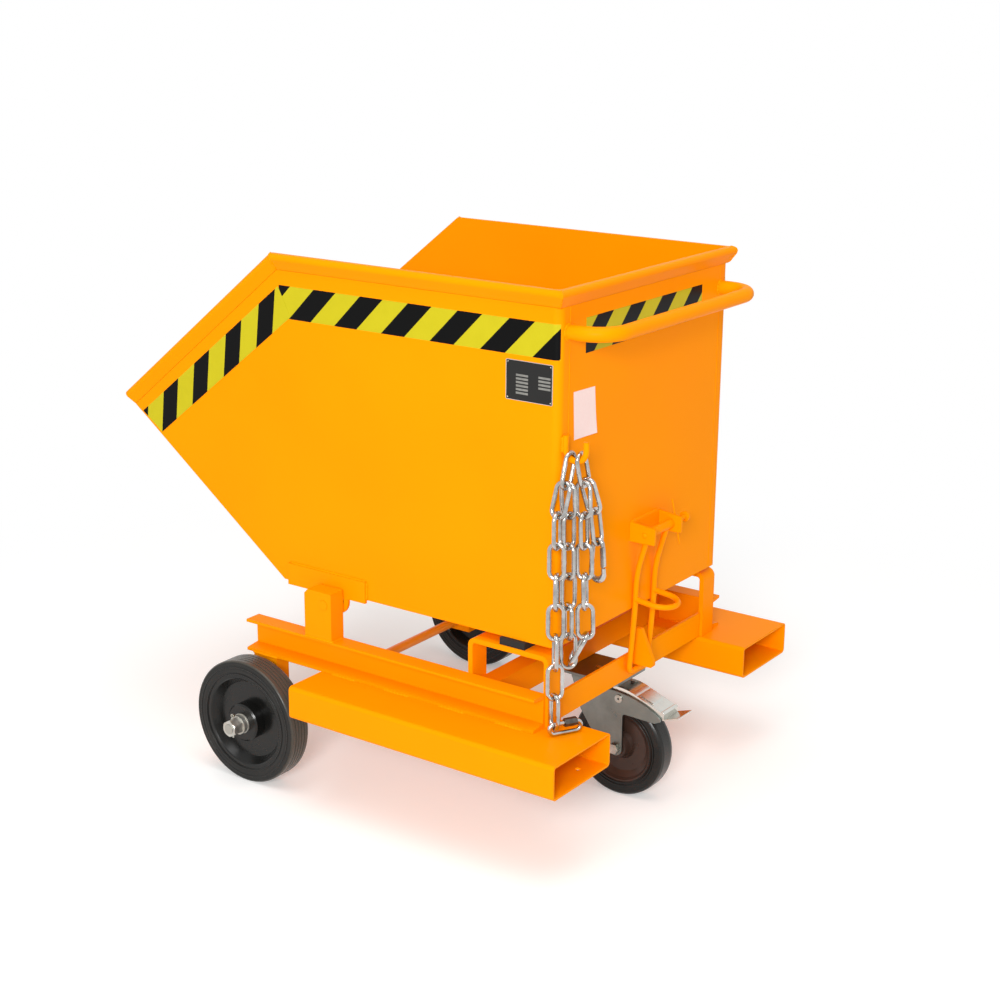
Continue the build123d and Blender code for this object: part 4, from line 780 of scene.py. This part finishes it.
def skipWelds():
    sunk = skipSeams["sunk"] * mm
    # the hinge bracket's top and sides
    low, high = boxOf("hinge_bracket_left")
    ends = skipSeams["bracketEnds"] * mm
    y = high[1] - sunk
    parts = [bead([(low[0] + ends, y, high[2]), (high[0] - ends, y, high[2])])]
    top, bottom = (high[2] - v * mm for v in skipSeams["bracketSides"])
    parts += [bead([(x, y, top), (x, y, bottom)]) for x in (low[0], high[0])]
    # round the handle's tube, then along the floor and up the chute
    low, high = boxOf("push_handle")
    tube = (high[2] - low[2]) / 2
    parts.append(circleBead((rearWall, low[1] + tube, low[2] + tube), tube, np.eye(3)[1:]))
    low, high = boxOf("skip_floor")
    lipLow, lipHigh = boxOf("skip_chute")
    ends = skipSeams["floorEnds"] * mm
    lipIn, lipDown = (v * mm for v in skipSeams["lipEnds"])
    y = low[1] + sunk
    parts.append(bead([(high[0] - ends, y, high[2]), (low[0], y, high[2]),
                       (lipLow[0] + lipIn, y, lipHigh[2] - lipDown)]))
    both = mirrored(parts)
    x = high[0] - sunk
    both.append(bead([(x, -high[1] + ends, high[2]), (x, high[1] - ends, high[2])]))
    # each side of the chain's hook
    low, high = boxOf("chain_hook")
    x = rearWall + skipSeams["hookOut"] * mm
    mid, aside = (low[1] + high[1]) / 2, skipSeams["hookAside"] * mm
    top = high[2] - skipSeams["hookTop"] * mm
    bottom = low[2] + skipSeams["hookBars"] * (skipSeams["hookBar"] * mm)
    both += [bead([(x, y, top), (x, y, bottom)]) for y in (mid - aside, mid + aside)]
    # above and below the latch's bracket, and the dot that holds its pin
    low, high = boxOf("latch_bracket")
    ends = skipSeams["latchEnds"] * mm
    x = rearWall + sunk
    both += [bead([(x, low[1] + ends, z), (x, high[1] - ends, z)]) for z in (low[2], high[2])]
    pin = np.array(middleOf("latch_pin"))
    both.append(dome((pin[0], low[1] + skipSeams["dotSunk"] * mm, pin[2]), (0, -1, 0), skipSeams["dot"] * mm,
                     skipSeams["dotHeight"] * mm, ((1, 0, 0), (0, 0, 1))))
    # the rolled rim is mitred and welded at the bend and at the rear corners
    crease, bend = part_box("rim_rear")[0].z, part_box("skip_floor")[0].x
    u, v = np.array(skipSeams["rim"]).T * mm
    corner = [bead(np.column_stack([x, leftWall - u, crease + v]), skipSeams["rimRadius"])
              for x in (bend - skipSeams["mitre"] * v, rearWall + u)]
    # the rear wall's edge beside each rounded corner
    edge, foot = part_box("rear_panel")[0].yz
    foot += skipSeams["edgeFoot"] * mm
    corner.append(bead([(rearWall, edge, foot), (rearWall, edge, crease)], skipSeams["edgeRadius"]))
    both += mirrored(corner)
    addPiece("skip_weld_beads", *joined(both), "skip", paint, "orange_paint")


# Where the chassis' beads run, in millimetres
chassisSeams = {"sunk": 0.5, "postEnds": 2, "stitch": 60, "stitches": 4, "stitchEnds": 25, "stitchUp": 0.3,
                "restBar": 10, "restFoot": 3, "restTop": 1, "catchFoot": 3, "catchTop": 49}


def chassisWelds():
    sunk = chassisSeams["sunk"] * mm
    channelLow, channelHigh = boxOf("channel_left")
    top = channelHigh[2]
    # three sides of the hinge post's foot and of the axle bracket's top
    low, high = boxOf("hinge_post_left")
    outer, inner = low[1] + sunk, high[1] - chassisSeams["postEnds"] * mm
    parts = [bead([(low[0], inner, top), (low[0], outer, top),
                   (high[0], outer, top), (high[0], inner, top)])]
    low, high = boxOf("axle_bracket_left")
    parts.append(bead([(low[0], high[1], high[2]), (low[0], low[1], high[2]),
                       (high[0], low[1], high[2]), (high[0], high[1], high[2])]))
    # stitch welds where the channel stands on the fork pocket
    stitch, ends = chassisSeams["stitch"] * mm, chassisSeams["stitchEnds"] * mm
    first, last = boxOf("fork_pocket_left")[0][0] + ends, channelHigh[0] - ends
    z = deckTop + chassisSeams["stitchUp"] * mm
    parts += [bead([(x, y, z), (x + stitch, y, z)])
              for x in np.linspace(first, last - stitch, chassisSeams["stitches"])
              for y in (channelLow[1], channelHigh[1])]
    # the bent rest bar's feet against the channel's back
    low, high = boxOf("rest_frame_left")
    bar, foot = chassisSeams["restBar"] * mm, deckTop + chassisSeams["restFoot"] * mm
    y, end = channelHigh[1], top - chassisSeams["restTop"] * mm
    parts += [bead([(x, y, foot), (x, y, end)]) for x in (low[0], low[0] + bar, high[0] - bar)]
    both = mirrored(parts)
    # each side of the latch's catch
    low, high = boxOf("latch_catch")
    x, foot = low[0] + sunk, low[2] + chassisSeams["catchFoot"] * mm
    end = deckTop + chassisSeams["catchTop"] * mm
    both += [bead([(x, y, foot), (x, y, end)]) for y in (low[1], high[1])]
    addPiece("chassis_weld_beads", *joined(both), "chassis", paint, "orange_paint")


skipWelds()
chassisWelds()
print("weld beads run")

# Floor and light: a pale floor that fades to plain white away from the object, a pale room, a soft box behind
# the camera and a wider, weaker one overhead, each (place, width, power); glow lifts the floor that is seen
stage = {"floor": "#EDECEA", "size": 30.0, "fade": (0.6, 1.9), "glow": 0.25, "room": 0.5, "aim": (0, 0, 0.5),
         "lamps": {"key": ((3.20, -5.90, 3.00), 1.8, 352), "top": ((0.7, -0.9, 4.8), 3.2, 88)}}
plainWhite = (1, 1, 1, 1)


def seenDirectly(tree):  # 1 for camera, glossy and transmission rays
    light = addNode(tree, "LightPath")
    either = addNode(tree, "Math", {0: light.outputs["Is Camera Ray"], 1: light.outputs["Is Glossy Ray"]},
                     operation="MAXIMUM")
    return addNode(tree, "Math", {0: either.outputs[0], 1: light.outputs["Is Transmission Ray"]},
                   operation="MAXIMUM").outputs[0]


def setFloor():
    material = bpy.data.materials.new("pale_studio_floor")
    material.use_nodes = True
    tree = material.node_tree
    tree.nodes.clear()
    place = addNode(tree, "TexCoord").outputs["Object"]
    far = addNode(tree, "VectorMath", {0: place}, operation="LENGTH")
    fade = addNode(tree, "MapRange", {"Value": far.outputs["Value"], **span("From", stage["fade"])},
                   interpolation_type="SMOOTHSTEP")
    seen = seenDirectly(tree)
    share = addNode(tree, "Math", {0: fade.outputs[0], 1: seen}, operation="MULTIPLY")
    matt = addNode(tree, "BsdfDiffuse", {"Color": linear(stage["floor"])})
    lift = addNode(tree, "Math", {0: seen, 1: stage["glow"]}, operation="MULTIPLY")
    glow = addNode(tree, "Emission", {"Color": plainWhite, "Strength": lift.outputs[0]})
    near = addNode(tree, "AddShader", {0: matt.outputs[0], 1: glow.outputs[0]})
    white = addNode(tree, "Emission", {"Color": plainWhite, "Strength": 1.0})
    mix = addNode(tree, "MixShader", {0: share.outputs[0], 1: near.outputs[0], 2: white.outputs[0]})
    addNode(tree, "OutputMaterial", {"Surface": mix.outputs[0]})
    size = stage["size"]
    mesh = bpy.data.meshes.new("studio_floor")
    corners = [(-size, -size, 0), (size, -size, 0), (size, size, 0), (-size, size, 0)]
    mesh.from_pydata(corners, [], [(0, 1, 2, 3)])
    mesh.materials.append(material)
    floor = bpy.data.objects.new("studio_floor", mesh)
    bpy.context.scene.collection.objects.link(floor)


def setLight():
    world = bpy.data.worlds.new("pale_room")
    bpy.context.scene.world = world
    world.use_nodes = True
    tree = world.node_tree
    strength = addNode(tree, "MapRange", {"Value": seenDirectly(tree), **span("To", (stage["room"], 1.0))})
    setInputs(tree, tree.nodes["Background"], {"Color": plainWhite, "Strength": strength.outputs[0]})
    for name, (spot, width, power) in stage["lamps"].items():
        lamp = bpy.data.lights.new("soft_box_" + name, "AREA")
        lamp.shape = "SQUARE"
        lamp.size = width
        lamp.energy = power
        holder = bpy.data.objects.new("soft_box_" + name, lamp)
        holder.location = spot
        holder.rotation_euler = (Vector(stage["aim"]) - Vector(spot)).to_track_quat("-Z", "Y").to_euler()
        bpy.context.scene.collection.objects.link(holder)
    bpy.context.scene.view_settings.view_transform = "Standard"


# The camera stands where the photograph was taken: eye in millimetres from the rear wall, turned, raised and
# slightly rolled in degrees; focal length and centre in pixels of a square frame
view = {"eye": (1645.5, -2811.2, 1581.0), "azimuth": 35.664, "elevation": 16.656, "roll": 0.284,
        "focal": 1822.85, "centre": (481.13, 492.99), "frame": 1000, "sensor": 36}


def setCamera():
    a, e, r = (math.radians(view[k]) for k in ("azimuth", "elevation", "roll"))
    back = Vector((math.sin(a) * math.cos(e), -math.cos(a) * math.cos(e), math.sin(e)))
    right = Vector((math.cos(a), math.sin(a), 0))
    up = back.cross(right)
    axes = (right * math.cos(r) + up * math.sin(r), up * math.cos(r) - right * math.sin(r), back)
    data = bpy.data.cameras.new("photo_camera")
    data.sensor_width = view["sensor"]
    data.lens = view["focal"] / view["frame"] * view["sensor"]
    data.shift_x = 0.5 - view["centre"][0] / view["frame"]
    data.shift_y = view["centre"][1] / view["frame"] - 0.5
    camera = bpy.data.objects.new("photo_camera", data)
    eye = Vector((rearWall, 0, 0)) + Vector(view["eye"]) * mm
    camera.matrix_world = Matrix.Translation(eye) @ Matrix(axes).transposed().to_4x4()
    bpy.context.scene.collection.objects.link(camera)
    bpy.context.scene.camera = camera


setFloor()
setLight()
setCamera()
print("stage and camera set")
